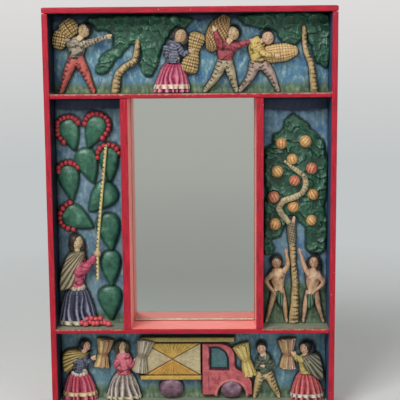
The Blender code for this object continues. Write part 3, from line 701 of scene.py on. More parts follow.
def open_neck(clay, head, chest, size, wear):
    """Bare skin in the opening of a shirt, edged with two lapels."""

    def on_body(share, aside):
        half = np.interp(share, (0, 0.4, 0.56), (CHEST, SHOULDER, NECK)) * size
        middle = chest + (head - chest) * share
        drop = math.sqrt(max(1 - (aside / half) ** 2, 0))
        return np.array((middle[0] + aside, middle[1], BODY_OUT + half * BODY_FLAT * drop))

    open_skin = [on_body(share, 0) - (0, 0, 0.6) for share in (0.6, 0.45, 0.2, -0.05)]
    clay.roll(open_skin, np.array((3.6, 3.6, 2.4, 0.5)) * size, wear["skin"], 0.3, fine=0.7)
    for side in (-1, 1):
        edge = [on_body(share, side * gap * size) for share, gap in ((0.5, 3.3), (0.24, 2.5), (-0.08, 0.3))]
        clay.roll(edge, np.array((0.8, 1.0, 0.55)) * size, wear["collar"], 0.8, fine=0.7)


print("a head is", 2 * HEAD[0], "mm wide and", 2 * HEAD[2], "mm high")

# %% [markdown]
# ## Skirts
# The full skirts are cones of paste with pleats pressed in by a stick, a gathered frill above the hem and
# sometimes a band at the waist. Rings that widen downwards carry the pleats as real relief, so light falls
# on them as on the real ones, and wash and painted shade darken the hollows between them while a painted
# highlight lies on the ridges.

# %% Skirt
SKIRT_FLAT, SKIRT_ROWS = 0.5, 64
PLEATS, PLEAT_DEEP = 16, 1.4
FRILL_AT, FRILL_PROUD = (3.2, 8.2), 1.5


def skirt(clay, waist, hem, waist_half, hem_half, wear):
    """Pleated skirt with a waistband and a gathered frill above the hem."""
    level = np.linspace(0, 1, SKIRT_ROWS)
    spread = np.interp(level, (0, 0.2, 0.45, 0.8, 1), (1, 0.93, 0.78, 0.42, 0))
    half = waist_half + (hem_half - waist_half) * spread
    middle = np.array(hem) + np.outer(level, waist - np.array(hem))
    deep = half * SKIRT_FLAT
    shape = (len(level), 3)
    side = np.broadcast_to((1.0, 0.0, 0.0), shape)
    front = np.broadcast_to((0.0, 0.0, 1.0), shape)
    centre = np.column_stack([middle, deep * 0.7])
    count = wear.get("pleats", PLEATS)
    form = pleats(count, PLEAT_DEEP, seed=hem[0])
    clay.skin(centre, side, front, half, deep, wear["skirt"], form, fine=0.7)
    low, high = wear.get("frill_at", FRILL_AT)
    rows = np.flatnonzero((middle[:, 1] > hem[1] + low) & (middle[:, 1] < hem[1] + high))
    clay.skin(
        centre[rows], side[rows], front[rows], half[rows] + FRILL_PROUD, deep[rows] + FRILL_PROUD,
        wear["frill"], ruffle(count, 0.4, seed=hem[0]), fine=0.6,
    )
    if "band" in wear:
        clay.roll(
            [(waist[0], waist[1] - 2.6, centre[-1, 2]), (waist[0], waist[1] + 1.2, BODY_OUT)],
            [waist_half + 1.4, waist_half + 0.6], wear["band"], 0.66, ruffle(15, 0.3), blunt=(0.15, 0.15),
        )


print("pleats stand out up to", round(PLEAT_DEEP * 1.1 * 0.85, 2), "mm at the hem")

# %% [markdown]
# ## One way of making a person
# All the people are the same doll: a rolled body, rolled arms and legs, an egg for the head and a
# cap of hair, posed by a few points. Only the clothes and the pose change. Writing the doll once and
# dressing it eleven times keeps the proportions alike, as one maker's figures are.

# %% Doll
HAIR_SPARE = 0.7
WAIST, HIP = 6.4, 7.4
ARM, ARM_OUT = (4.2, 3.3, 2.1), 7.4
LEG, LEG_OUT = (5.7, 4.2, 2.2), 4.0
LOCK = (2.6, 3.2, 2.4)
FOOT = (2.6, 2.3, 1.2)
BARE_SLIM, BARE_LEG = 0.9, 0.86
BARE_BODY = (1.05, 1.12, 1.3, 1.35, 1.0)


def person(
    box, head, chest, waist, arms, legs=(), dress=None, hair=(0.0, 1.6, 1.6), size=1.0, turn=0.0, wear=None
):
    """Doll from pose points, dressed in the paints of wear."""
    clay = Clay(box)
    skin, bare = wear["skin"], wear.get("bare")
    slim = size * BARE_SLIM if bare else size
    skull = size * wear.get("head", 1.0)
    head, chest, waist = (np.array(point, float) for point in (head, chest, waist))
    hip = waist - (0, WAIST * size / 2)
    rise = [chest + (head - chest) * share for share in (0.4, 0.56, 0.85)]
    halves = np.array((HIP if bare else WAIST, WAIST, CHEST, SHOULDER, NECK)) * slim
    halves = halves * BARE_BODY if bare else halves
    thigh = np.array(LEG) * slim * (BARE_LEG if bare else 1.0)
    seat = hip if bare else waist - (0, 1.2)
    clay.roll(
        [(*point, BODY_OUT) for point in (seat, waist, chest, *rise[:2])], halves, wear["jacket"],
        BODY_FLAT, lumps(0.4, 4.0) if bare else cloth_folds(0.6, seed=head[0]), blunt=(0.3, 0.2),
    )
    clay.roll(
        [(*rise[0], BODY_OUT), (*rise[1], BODY_OUT + 0.4), (*rise[2], HEAD_OUT - 0.6)],
        np.array((3.6, 3.3, 3.4)) * size, skin, 0.9,
    )
    clay.ball((*head, HEAD_OUT), [half * skull for half in HEAD], skin)
    cap = [(half + wear.get("hair_spare", HAIR_SPARE)) * skull for half in HEAD]
    clay.ball(
        (head[0] + hair[0], head[1] + hair[1], HEAD_OUT - hair[2]), cap, wear["hair"], strands(26, 0.28)
    )
    for lock in wear.get("locks", ()):
        clay.roll(
            [(*head, HEAD_OUT - 1.0) + np.array(point) for point in lock],
            np.array(LOCK) * size, wear["hair"], 0.8, strands(9, 0.3, 0.3),
        )
    face(clay, head, skull, turn, skin)
    if "collar" in wear:
        open_neck(clay, head, chest, size, wear)
    for arm, sleeve in zip(arms, wear["sleeves"]):
        path = np.array([point if len(point) == 3 else (*point, ARM_OUT) for point in arm], float)
        reach = (path[2] - path[1]) / np.linalg.norm(path[2] - path[1]) * HAND * size
        wrist = path[2] - reach
        clay.roll(
            [path[0], path[1], wrist], np.array(ARM) * slim * wear.get("arm", 1.0), sleeve, 1.0,
            lumps(0.12, 4.0) if bare else cloth_folds(0.4, seed=arm[0][0]),
        )
        if not bare:
            clay.roll(
                [wrist - reach * 0.35, wrist + reach * 0.15], [ARM[2] * size + 0.35] * 2,
                sleeve, blunt=(0.2, 0.2), fine=0.5,
            )
        hand(clay, path[2] - reach * 0.4, path[2], slim, skin)
    for leg in legs:
        path = np.array([(*point, LEG_OUT) for point in leg])
        drift = np.array((path[2][0] - path[1][0], 0, 0)) * 0.12
        foot = [path[2] + (0, 0.4, 0), path[2] + drift + (0, -1.6, 0.8), path[2] + drift * 2 + (0, -3, 2.2)]
        trousers = wear["trousers"]
        clay.roll(
            path, thigh, trousers, 1.0,
            lumps(0.12, 4.0) if bare else cloth_folds(0.25, seed=leg[1][0]), blunt=(0.6, 0.2),
        )
        clay.roll(foot, np.array(FOOT) / LEG[2] * thigh[2], trousers, 0.85, fine=0.6)
    if legs and not bare:
        clay.roll(
            [(*(hip - (0, 2.2)), BODY_OUT - 0.2), (*waist, BODY_OUT)],
            np.array((HIP - 0.4, WAIST + 0.4)) * size, wear["trousers"], BODY_FLAT,
            cloth_folds(0.2, seed=3.0), blunt=(0.5, 0.2),
        )
    if "belt" in wear:
        clay.roll(
            [(*(waist - (0, 0.6)), BODY_OUT), (*(waist + (0, 0.9)), BODY_OUT)],
            [WAIST * size + 0.9] * 2, wear["belt"], BODY_FLAT + 0.03, blunt=(0.12, 0.12), fine=0.6,
        )
    if dress:
        skirt(clay, waist, *dress, wear)
    return clay


print("a doll is", 2 * CHEST, "mm broad at the chest and", 2 * WAIST, "mm at the waist")

# %% [markdown]
# ## Harvesters of the top box
# Two men carry woven bundles on the shoulder, a third hugs a long basket, and a woman in a full skirt
# holds a bundle of cobs. Shirts and trousers carry rows of small brush dashes; belts and lapels are
# thin rolls laid on top.

# %% Paints of the top box
grey_shirt = tempera("grey_shirt", "#8b7f6d", "#665c4f", "#b8ad98", marks=(3.8, 0.8, -5.0, 4.0, "#3d342d"))
grey_sleeve = tempera("grey_sleeve", "#a3967f", "#81755f", "#c8bda8", marks=(3.2, 1.3, -3.6, 2.6, INK))
salmon_trousers = tempera(
    "salmon_trousers", "#c25c54", "#a44643", "#da8c80", marks=(4.6, 1.5, -5.2, -0.4, INK)
)
slate_jacket = tempera(
    "slate_jacket", "#383c4e", "#242736", "#7b7f92", marks=(3.0, 0.7, -4.5, 3.0, "#8d91a0")
)
rose_skirt = tempera("rose_skirt", "#ab2d56", "#8a1e42", "#ea9db0", wash_and_shade_tone="#3f0c22")
cream_frill = tempera("cream_frill", "#dcc4ab", "#cf9c90", "#f0e2cf", wash_and_shade_tone="#8a2c44")
red_jacket = tempera("red_jacket", "#9c3842", "#7c2832", "#bd6169", marks=(4.4, 0.8, -5.0, 5.0, "#561820"))
red_sleeve = tempera("red_sleeve", "#a53c44", "#862c35", "#c4686e", marks=(3.2, 0.9, -3.4, 2.0, "#4a1a1e"))
cream_trousers = tempera("cream_trousers", "#b0a182", "#928366", "#cfc2a4", marks=(4.4, 1.4, -5.0, -0.4, INK))
yellow_vest = tempera("yellow_vest", "#bb9a4c", "#868540", "#d9bf78", marks=(4.2, 0.8, -5.0, 1.0, "#3f3a22"))
yellow_sleeve = tempera(
    "yellow_sleeve", "#c3a055", "#a88740", "#dfc587", marks=(2.9, 0.8, -3.2, 2.2, "#4a3a22")
)
rose_trousers = tempera("rose_trousers", "#ad9488", "#8f766c", "#ccb8ab", marks=(4.3, 1.4, -5.0, -0.4, INK))
brown_leather = tempera("brown_leather", "#5a4034", "#3d2a23", "#84695a")
print("paints so far:", len(bpy.data.materials))

# %% [markdown]
# ## Posing the harvesters
# Each person is one call: places of head, chest and waist, three points for each arm and leg, and what to
# wear. The places lie on the same grid as the solids, so every doll stands where its solid does.

# %% People of the top box
farmer = dict(skin=pale_skin, hair=black_hair, hair_spare=0.2)

person(
    top, (34.5, 66), (26.5, 50), (25, 37),
    [((31, 50.5), (39, 53), (60.5, 60)), ((20.5, 51, 6), (16.5, 56, 6), (11.5, 61, 6))],
    [((22, 36), (15, 20), (9.5, 4)), ((28, 36), (35, 21), (42, 4))], hair=(1.4, 1.2, 1.6), turn=14,
    wear=dict(farmer, jacket=grey_shirt, sleeves=(grey_sleeve, grey_shirt), collar=brown_leather,
              trousers=salmon_trousers, belt=ink),
).done("cream_painted_paste", "bundle_man")
person(
    top, (136, 60), (128.5, 47), (128, 33),
    [((133.5, 47), (139, 41.5), (147, 44)), ((122, 48), (121.5, 40), (131, 37))],
    dress=((126, 1), 6.4, 18), hair=(-1, 1.8, 1.6), turn=6,
    wear=dict(skin=tan_skin, hair=brown_hair, hair_spare=0.2, jacket=slate_jacket,
              sleeves=(slate_jacket,) * 2, skirt=rose_skirt, frill=cream_frill, pleats=17,
              locks=[[(-6, 3, -0.5), (-8, -2, 0), (-10, -1, 1)], [(5.4, 2, -1), (5.4, -5, 0), (2, -9, 1.5)],
                     [(-5.4, 2, -1), (-5.6, -5, 0), (-2.4, -9.4, 1.5)]]),
).done("pink_painted_paste", "basket_woman")
person(
    top, (191.6, 62), (184, 47), (183, 33),
    [((179, 48, 9), (175, 57, 12), (171.6, 66, 13)), ((189.5, 47), (198.6, 50), (211, 54))],
    [((180, 31), (173, 17), (163, 4)), ((186, 31), (190, 18), (194, 4))], hair=(1.2, 1.3, 1.6), turn=6,
    wear=dict(farmer, jacket=red_jacket, sleeves=(red_jacket, red_sleeve), collar=red_jacket,
              trousers=cream_trousers),
).done("pink_painted_paste", "red_jacket_man")
person(
    top, (227.6, 57), (216.5, 48.5), (217.5, 32),
    [((217, 49.5), (223, 40.5, 11), (236.6, 38.5, 13))],
    [((214, 30), (210, 18), (200, 4)), ((224, 29), (231.5, 18), (237.6, 4))], hair=(-0.4, 1.6, 1.6), turn=8,
    wear=dict(farmer, skin=rose_skin, jacket=yellow_vest, sleeves=(yellow_sleeve,), collar=brown_leather,
              trousers=rose_trousers, belt=brown_leather),
).done("straw_painted_paste", "yellow_vest_man")

# %% [markdown]
# ## Bundles and baskets
# The loads are plain lumps of paste scored with a blade: woven straw on the first man's back, a tied
# bundle of cobs in the woman's arms, a slanting hatch on the shoulder basket and rows of blocks on
# the long one. The brown wash left in the cuts, with painted shade in them, makes the pattern
# readable from far away.

# %% Baskets
woven_straw = tempera("woven_straw", "#ab8c55", "#8b6e40", "#d0b783", wash_and_shade_tone="#2b1d10")
hatched_straw = tempera("hatched_straw", "#a5804f", "#8d633c", "#c9aa78", wash_and_shade_tone="#2f1f10")
pale_maize = tempera("pale_maize", "#d0b078", "#c08f58", "#e9d4a6", wash_and_shade_tone="#452c18")
BASKET_FLAT = 0.62

clay = Clay(top)
clay.ball((18.4, 68.4, 6), (9.6, 7, 10), woven_straw, basket_weave(20, 3.2, 0.75), lean=-35)
clay.ball((8.6, 57, 5.5), (7.8, 6.4, 10.6), woven_straw, basket_weave(16, 3.2, 0.75), lean=12)
clay.done("straw_painted_paste", "back_bundles")


def load(node, path, radii, paint, form):
    """Tied or woven bundle along a path, standing out by its own thickness."""
    clay = Clay(top)
    out = max(radii) * BASKET_FLAT * 0.8
    clay.roll([(*point, out) for point in path], radii, paint, BASKET_FLAT, form, fine=0.7)
    return clay.done("straw_painted_paste", node)


load(
    "woman_basket", [(154, 58.5), (152, 53), (149.5, 44), (147.4, 36), (144.6, 25.5)],
    [8.2, 7.6, 5.2, 7.4, 8.8], woven_straw, basket_weave(18, 3.3, 0.6),
)
load(
    "shoulder_basket", [(167, 46), (171.5, 54), (177.5, 67), (183.5, 78)], [4, 9.6, 10.4, 4.6],
    hatched_straw, basket_weave(20, 3.2, 0.6, slant=0.5),
)
load(
    "long_basket", [(222.6, 39), (229, 40), (246, 42), (256.6, 43.4)], [5.0, 8.8, 9.0, 5.0],
    pale_maize, kernels(16, 3.0, 0.6),
)

# %% [markdown]
# ## Copies on points
# Small fruits and nail heads repeat by the dozen. One Geometry Nodes tree sets a copy on each
# point, turns it to the way it should lift and aim, and varies its size and tilt a little; named
# inputs and a fixed seed keep the result the same on every run. The result becomes a plain mesh, so
# nothing is left to be evaluated later.

# %% Copies by geometry nodes
COPY_INPUTS = {
    "Spots": "Geometry", "Copy": "Object", "Size": "Float", "Spread": "Float", "Tilt": "Float", "Seed": "Int",
    "Finish": "Material",
}


def new_tree(name, inputs, output):
    """Geometry node tree with named inputs and one output; gives the tree and its inputs' sockets."""
    tree = bpy.data.node_groups.new(name, "GeometryNodeTree")
    for title, kind in inputs.items():
        tree.interface.new_socket(title, in_out="INPUT", socket_type="NodeSocket" + kind)
    tree.interface.new_socket(output, in_out="OUTPUT", socket_type="NodeSocketGeometry")
    return tree, add(tree, "NodeGroupInput", out="all")


copies_tree, given = new_tree("set_copies", COPY_INPUTS, "Pieces")
tree = copies_tree
lift, aim = (
    add(tree, "GeometryNodeInputNamedAttribute", {"Name": name}, data_type="FLOAT_VECTOR")
    for name in ("lift", "aim")
)
upright = add(tree, "FunctionNodeAlignRotationToVector", {"Vector": lift}, axis="Z")
facing = add(tree, "FunctionNodeAlignRotationToVector", {
    "Rotation": upright, "Vector": aim,
}, axis="X", pivot_axis="Z")
lean = add(tree, "FunctionNodeRandomValue", {
    0: (-1.0, -1.0, -1.0), 1: (1.0, 1.0, 1.0), "Seed": given["Seed"],
}, data_type="FLOAT_VECTOR")
leaned = add(tree, "VectorMath", {0: lean, "Scale": given["Tilt"]}, operation="SCALE")
turned = add(tree, "FunctionNodeRotateRotation", {
    "Rotation": facing, "Rotate By": add(tree, "FunctionNodeEulerToRotation", {"Euler": leaned}),
}, rotation_space="LOCAL")
draw = add(tree, "FunctionNodeRandomValue", {2: -1.0, 3: 1.0, "Seed": given["Seed"]}, data_type="FLOAT")
varied = add(tree, "Math", {0: draw, 1: given["Spread"], 2: 1.0}, operation="MULTIPLY_ADD")
scale = add(tree, "Math", {0: varied, 1: given["Size"]}, operation="MULTIPLY")
instances = add(tree, "GeometryNodeInstanceOnPoints", {
    "Points": given["Spots"], "Rotation": turned, "Scale": scale,
    "Instance": add(tree, "GeometryNodeObjectInfo", {"Object": given["Copy"]}, out="Geometry"),
})
whole = add(tree, "GeometryNodeRealizeInstances", {0: instances})
painted = add(tree, "GeometryNodeSetMaterial", {0: whole, "Material": given["Finish"]})
add(tree, "NodeGroupOutput", {0: painted})
print("set_copies:", len(tree.nodes), "nodes")

# %% [markdown]
# ## Running a node tree
# A tree works on a mesh through a modifier. Its inputs are set by their identifiers, the evaluated result
# is read as plain points and faces, and the helper object goes away again. The small shapes that are
# copied, a round fruit and a nail with a head, are rings round an axis.

# %% Grown shapes
SHAPE_SIDES = 10


def grown(tree, mesh, values):
    """Points and faces that a node tree makes from a mesh; the helper object is removed again."""
    host = bpy.data.objects.new("grown", mesh)
    bpy.context.scene.collection.objects.link(host)
    modifier = host.modifiers.new("grown", "NODES")
    modifier.node_group = tree
    for socket in tree.interface.items_tree:
        if socket.in_out == "INPUT" and socket.name in values:
            modifier[socket.identifier] = values[socket.name]
    result = bpy.data.meshes.new_from_object(host.evaluated_get(bpy.context.evaluated_depsgraph_get()))
    points = np.zeros(len(result.vertices) * 3)
    result.vertices.foreach_get("co", points)
    faces = np.full((len(result.polygons), 4), -1)
    for polygon in result.polygons:
        faces[polygon.index, : polygon.loop_total] = polygon.vertices
    bpy.data.objects.remove(host)
    bpy.data.meshes.remove(result)
    return points.reshape(-1, 3), faces


def copies(spots, shape, paint, size=1.0, lift=(0, 0, 1), aim=(0, -1, 0), spread=0.1, tilt=0.2, seed=1):
    """Points and faces of a shape set on every spot."""
    mesh = bpy.data.meshes.new("spots")
    mesh.from_pydata(np.asarray(spots, float).tolist(), [], [])
    for name, way in (("lift", lift), ("aim", aim)):
        store(mesh, name, np.broadcast_to(way, (len(spots), 3)), "FLOAT_VECTOR", "vector")
    return grown(copies_tree, mesh, {
        "Copy": shape, "Size": size, "Spread": spread, "Tilt": tilt, "Seed": seed, "Finish": paint,
    })


def pattern_shape(name, rings):
    """Small closed shape for copies, from rings of (radius, height) round its axis."""
    turn = np.arange(SHAPE_SIDES) * math.tau / SHAPE_SIDES
    points = [(r * math.cos(a), r * math.sin(a), h) for r, h in rings for a in turn]
    pairs = [(j, (j + 1) % SHAPE_SIDES) for j in range(SHAPE_SIDES)]
    starts = [i * SHAPE_SIDES for i in range(len(rings))]
    faces = [(i + a, i + b, k + b, k + a) for i, k in zip(starts, starts[1:]) for a, b in pairs]
    points += [(0, 0, rings[0][1]), (0, 0, rings[-1][1])]
    faces += [(len(points) - 2, b, a) for a, b in pairs]
    faces += [(len(points) - 1, starts[-1] + a, starts[-1] + b) for a, b in pairs]
    mesh = bpy.data.meshes.new(name)
    mesh.from_pydata(points, [], faces)
    return bpy.data.objects.new(name, mesh)


print("copied shapes have", SHAPE_SIDES, "sides")

# %% [markdown]
# ## Trees
# A trunk is a rolled bar with short cuts across one side, each cut filled with dark paint. A crown is
# a plate of paste pushed down with a spatula in wandering rows: every row ends in a proud lip with a
# hollow under it, and the pushed paste crinkles. One rule for the height of the plate makes the
# rows, their uneven strength and the creases, and the same rule paints light: painted shade under each
# lip and a painted highlight on the lips, creases and crinkles.

# %% Trunks and crowns
pale_bark = tempera("pale_bark", "#bfa473", "#9c8156", "#dcc798", marks=(4.2, 1.2, -4.6, -1.4, INK))
mottled_bark = tempera("mottled_bark", "#83755a", "#5a5140", "#b9aa8a", wash_and_shade_tone="#2a2418")
leaf_green = tempera("leaf_green", "#2b6449", "#1d4836", "#83b297", 0.44, wash_and_shade_tone="#0b211b")
CROWN_THICK = 5.0
RAGGED, RAGGED_STEP = 1.3, 4.0


def trunk(box, path, radii, upper=None, out=3.4):
    """Rolled trunk with cuts across it; the upper third may have a paint of its own."""
    clay = Clay(box)
    spots, split = [(*point, out) for point in path], len(path) - 3 if upper else len(path)
    clay.roll(spots[:split + 1], radii[:split + 1], pale_bark, 1.0, ring_notches(4.5, 0.5, radii[0]))
    if upper:
        scored = basket_weave(9, 2.6, 0.4, slant=0.3)
        clay.roll(spots[split:], radii[split:], upper, 1.0, scored, blunt=(0.1, 0.5))
    return clay


def foliage(pitch, lift, seed):
    """Dressing for a crown: wandering rows of lips with crinkled paste between them."""

    def rise(x, z, depth):
        spots = np.column_stack([x, z])
        wander = grain(spots, 12.0, seed)
        row = (z + 7.0 * wander + 2.6 * grain(spots, 4.5, seed + 1)) / pitch
        along_row = np.column_stack([x / 8, np.floor(row) * 3.7])
        strength = np.clip(0.55 + 0.9 * grain(along_row, 1.0, seed + 2), 0, 1)
        lip = (1 - row % 1) ** 1.4 * strength
        folds = np.abs(grain(np.column_stack([x + 4 * wander, z * 0.55]), 4.6, seed + 3))
        crease = np.clip(1 - 3.0 * folds, 0, 1) ** 2
        strokes = np.abs(grain(np.column_stack([x + 0.3 * z, 0.35 * z]), 2.6, seed + 4))
        crinkle = np.clip(1 - 4 * strokes, 0, 1)
        edge = np.clip(depth / 2.5, 0, 1)
        height = SEAT + CROWN_THICK * (0.3 + 0.4 * np.sqrt(1 - (1 - edge) ** 2))
        height = height + edge * (lift * lip + 0.9 * crease + 0.3 * crinkle)
        # Painted light: shade under each lip, a highlight on the lips, creases and crinkles.
        return height, 0.5 - 0.75 * lip - 0.6 * crease - 0.3 * crinkle

    return rise


def crown(box, outline, paint, pitch, lift, seed):
    """Plate of foliage with a ragged edge."""
    edge = smooth_path(outline, 1.2, closed=True)
    ragged = np.column_stack([grain(edge, RAGGED_STEP, seed), grain(edge, RAGGED_STEP, seed + 1)])
    edge = edge + RAGGED * ragged
    clay = Clay(box)
    clay.plate(edge, foliage(pitch, lift, seed), paint, fine=0.7)
    return clay


trunk(
    top, [(66, 1.2), (69, 18), (76, 27), (86, 33), (89.5, 42), (91, 55)],
    [4.2, 3.7, 3.4, 3.2, 2.9, 2.5], out=5.0,
).done("ochre_painted_paste", "left_trunk")
trunk(
    top, [(276.6, 1.2), (273.6, 28), (269.6, 38), (266.6, 50), (265.6, 68)], [3.8, 3.1, 2.9, 2.6, 1.9],
    out=6.4,
).done("ochre_painted_paste", "right_trunk")
crown(top, [
    (44, 80), (45, 70), (50, 65), (57, 66), (62.5, 62), (65, 55), (64, 48), (52, 40), (46, 24), (50, 20),
    (57, 22), (70, 38), (83, 51.5), (93.5, 45), (93, 28), (98, 17.5), (104, 18), (110, 28), (115, 43),
    (120, 54), (125, 64), (131, 69), (140, 68), (142, 80),
], leaf_green, 9.0, 2.0, 3).done("green_painted_paste", "left_crown")
crown(top, [
    (202.6, 72), (215.6, 68), (230, 67), (237.6, 62), (243.6, 52.5), (248, 50), (255.6, 49), (262, 54),
    (267, 60), (270.5, 53), (274.6, 45), (277.6, 35), (282.6, 29.5), (291.4, 28.5), (291.4, 80.5),
    (202.6, 80.5),
], leaf_green, 9.0, 2.0, 8).done("green_painted_paste", "right_crown")

# %% [markdown]
# ## Woman and prickly pear of the left box
# The pads are egg-shaped cakes of paste, broad at the top and smoothed with a wet finger, so they
# shine a little more than the rest. Rows of red fruits sit on their rims and some have fallen. A
# woman with a draped shawl reaches up with a long pole to knock them down.

# %% Pads and fruits
EGG = 0.58
PAD_THICK, PAD_SIDES = 6.6, 72
BEAD, BEAD_OFF = 2.9, 1.3
cactus_green = tempera("cactus_green", "#316850", "#1b4636", "#7aa78d", 0.38, wash_and_shade_tone="#0c1c17")
coral_red = tempera("coral_red", "#b93c43", "#9b2a34", "#d97870", 0.42, wash_and_shade_tone="#4c0d15")
ripe_red = tempera("ripe_red", "#d8565f", "#b9414b", "#f6b4b0", 0.42, wash_and_shade_tone="#5a1119")
bead_shape = pattern_shape("bead_shape", [
    (math.cos(a), math.sin(a)) for a in np.radians((-72, -45, -15, 15, 45, 66, 80))
])


def egg_spot(angle):
    """Egg outline, broad at the top, as shares of its half width and half length."""
    return np.cos(angle) * (1 + EGG * np.sin(angle)) / (1 + EGG / 5), np.sin(angle)


def pad_axes(tip, peak):
    """Middle of a pad, its way up and its way across."""
    tip, peak = np.array(tip, float), np.array(peak, float)
    along = (peak - tip) / np.linalg.norm(peak - tip)
    return (tip + peak) / 2, along, np.array((along[1], -along[0])), np.linalg.norm(peak - tip)


def pad(clay, tip, peak, wide):
    """Smooth domed cake of paste with an egg outline."""
    middle, along, side, long = pad_axes(tip, peak)
    turn = np.linspace(0, math.tau, PAD_SIDES + 1)
    across, up = egg_spot(turn[:-1])
    bend = np.radians(np.linspace(0, 88, 24))
    share, level = np.cos(bend) ** 0.55, SEAT + (PAD_THICK - SEAT) * np.sin(bend) ** 0.8
    spots = middle + across[:, None] * side * wide / 2 + up[:, None] * along * long / 2
    rings = middle + share[:, None, None] * (spots - middle)
    lumpy = 0.45 * grain(rings, 8.0, wide) + 0.15 * grain(rings, 2.5, long)
    out = level[:, None] + lumpy * np.sin(bend)[:, None]
    # Painted light: shade at the rim where the pad meets the ground and towards its lower right, a highlight
    # towards its upper left and on its lumps.
    dark = (0.55 * (1 - np.sin(bend)) ** 2)[:, None] + 0.5 * (rings - middle) @ (0.5, -0.8) / long
    around = np.broadcast_to(turn * wide / 2, (len(bend), len(turn)))
    dark = dark - 0.75 * lumpy - 0.1
    clay.wrap(np.dstack([rings, out]), cactus_green, dark, around, np.sin(bend) * wide / 2)


def rim_row(tip, peak, wide, start, finish, count):
    """Places of fruits round the rim of a pad, between two angles in degrees."""
    middle, along, side, long = pad_axes(tip, peak)
    across, up = egg_spot(np.radians(np.linspace(start, finish, count)))
    spots = middle + across[:, None] * side * (wide / 2 + BEAD_OFF)
    spots = spots + up[:, None] * along * (long / 2 + BEAD_OFF)
    clear = np.maximum(spots[:, 0], BEAD + GROUND_GAP)
    return np.column_stack([clear, spots[:, 1], np.full(count, PAD_THICK * 0.55)])


print("a pad has", PAD_SIDES, "sides and domes", PAD_THICK, "mm")

# %% [markdown]
# ## Setting the pads
# Ten pads stand on and beside each other. A table gives each one its lower tip, its top, its width and the
# stretch of rim that carries fruits; the fruits are copies on those points.

# %% Prickly pear
cactus = {
    "c": ((41, 154.5), (29.5, 192.5), 24, None),
    "f": ((35, 124), (62, 153), 28, None),
    "g": ((39.5, 106.5), (6.5, 125.5), 26, (52, 182, 9)),
    "a": ((21.5, 190), (11.5, 224.5), 22, (196, 32, 12)),
    "b": ((36, 193), (49.5, 227.5), 23, (166, -8, 12)),
    "d": ((58.5, 155.5), (57, 195), 21, (158, 34, 8)),
    "e": ((17, 136), (12, 176), 23, (140, 44, 7)),
    "j": ((57, 3.5), (55, 42), 26, None),
    "i": ((58, 41), (57, 81.5), 22, None),
    "h": ((59, 80.5), (53.5, 122.5), 26, None),
}
for letter, (tip, peak, wide, row) in cactus.items():
    clay = Clay(left)
    pad(clay, tip, peak, wide)
    if row:
        spots = rim_row(tip, peak, wide, *row)
        clay.graft(*copies(spots, bead_shape, coral_red, BEAD * 1.05, seed=row[2]), coral_red)
    clay.done("cactus_green_paste", f"cactus_pad_{letter}")
fallen = [(22 + 4.2 * i, BEAD + 0.3 + 0.8 * (i % 2), 14.0 + 2.0 * (i % 3)) for i in range(9)]
fallen += [(31 + 5.0 * i, BEAD + 4.2 + 0.8 * (i % 2), 12.5) for i in range(4)]
clay = Clay(left)
clay.graft(*copies(fallen, bead_shape, ripe_red, BEAD * 1.1, seed=4), ripe_red)
clay.done("red_painted_paste", "fallen_fruit")

# %% [markdown]
# ## The woman with the pole
# Her shawl is a plate of paste pulled over one shoulder and scored from the neck in fan-like folds.
# The same rule, with another hub, makes the shawls of the bottom box.

# %% Pole woman
POLE = 1.6
POLE_OUT = PAD_THICK + 0.3 + POLE
SHAWL_THICK = 6.0
khaki_shawl = tempera("khaki_shawl", "#7a6f55", "#5a5240", "#aea286", wash_and_shade_tone="#1c180f")
magenta_sleeve = tempera("magenta_sleeve", "#ac3857", "#8a2942", "#d27487")
violet_skirt = tempera("violet_skirt", "#262a44", "#181b2c", "#a9aac4", wash_and_shade_tone="#090a14")
cream_cloth = tempera("cream_cloth", "#cdbf9d", "#b0a07d", "#e6dcc2")
yellow_pole = tempera("yellow_pole", "#dbc88a", "#c2a968", "#eee0b4", marks=(4.6, 1.3, 0.0, 3.4, INK))


def fan_folds(thick, hub, count, deep):
    """Dressing for a shawl: folds that run out from a hub point."""

    def rise(x, z, depth):
        edge = np.clip(depth / 2.4, 0, 1)
        angle = np.arctan2(z - hub[1], x - hub[0])
        away = np.hypot(x - hub[0], z - hub[1])
        sway = angle * count + 1.2 * grain(np.column_stack([angle * 6, away / 40]), 1.0)
        fold = 2 * np.abs(np.cos(sway)) ** 0.6 - 1.1
        height = SEAT + thick * (0.35 + 0.65 * np.sqrt(1 - (1 - edge) ** 2)) + deep * fold * edge
        # Painted highlight on the fold ridges, wash and painted shade in the valleys, painted shade along the
        # rim.
        return height, -0.85 * fold * edge + np.clip(0.7 - depth / 1.5, 0, 0.7)

    return rise


clay = Clay(left)
line = smooth_path([(43.5, 51, POLE_OUT), (45, 95, POLE_OUT), (55.5, 196, POLE_OUT)], 1.2)
clay.roll(line, np.full(len(line), POLE), yellow_pole, 1.0, fine=1.2)
clay.done("straw_painted_paste", "fruit_pole")
clay = person(
    left, (21.5, 91), (22, 65), (20, 42),
    [((22, 57, 8), (33, 66, 9), (42.5, 77))],
    dress=((20.5, 1), 8, 19.5), hair=(-2.2, 1.2, 1.0), turn=18,
    wear=dict(skin=pale_skin, hair=brown_hair, jacket=magenta_sleeve, sleeves=(magenta_sleeve,), arm=1.4,
              skirt=violet_skirt, frill=cream_cloth, band=cream_cloth, pleats=15, frill_at=(0.6, 4.8),
              locks=[[(-5.4, 2, -1), (-6, -5, 0), (-4, -12, 0)], [(5, 1, -1), (5, -6, -0.5), (2, -13, 0)],
                     [(0, -9, 0), (0, -13, 0.5), (0, -17, 0)]]),
)
clay.ball((44, 79, POLE_OUT), (3.6, 3.6, 4), tan_skin, strands(9, 0.25))
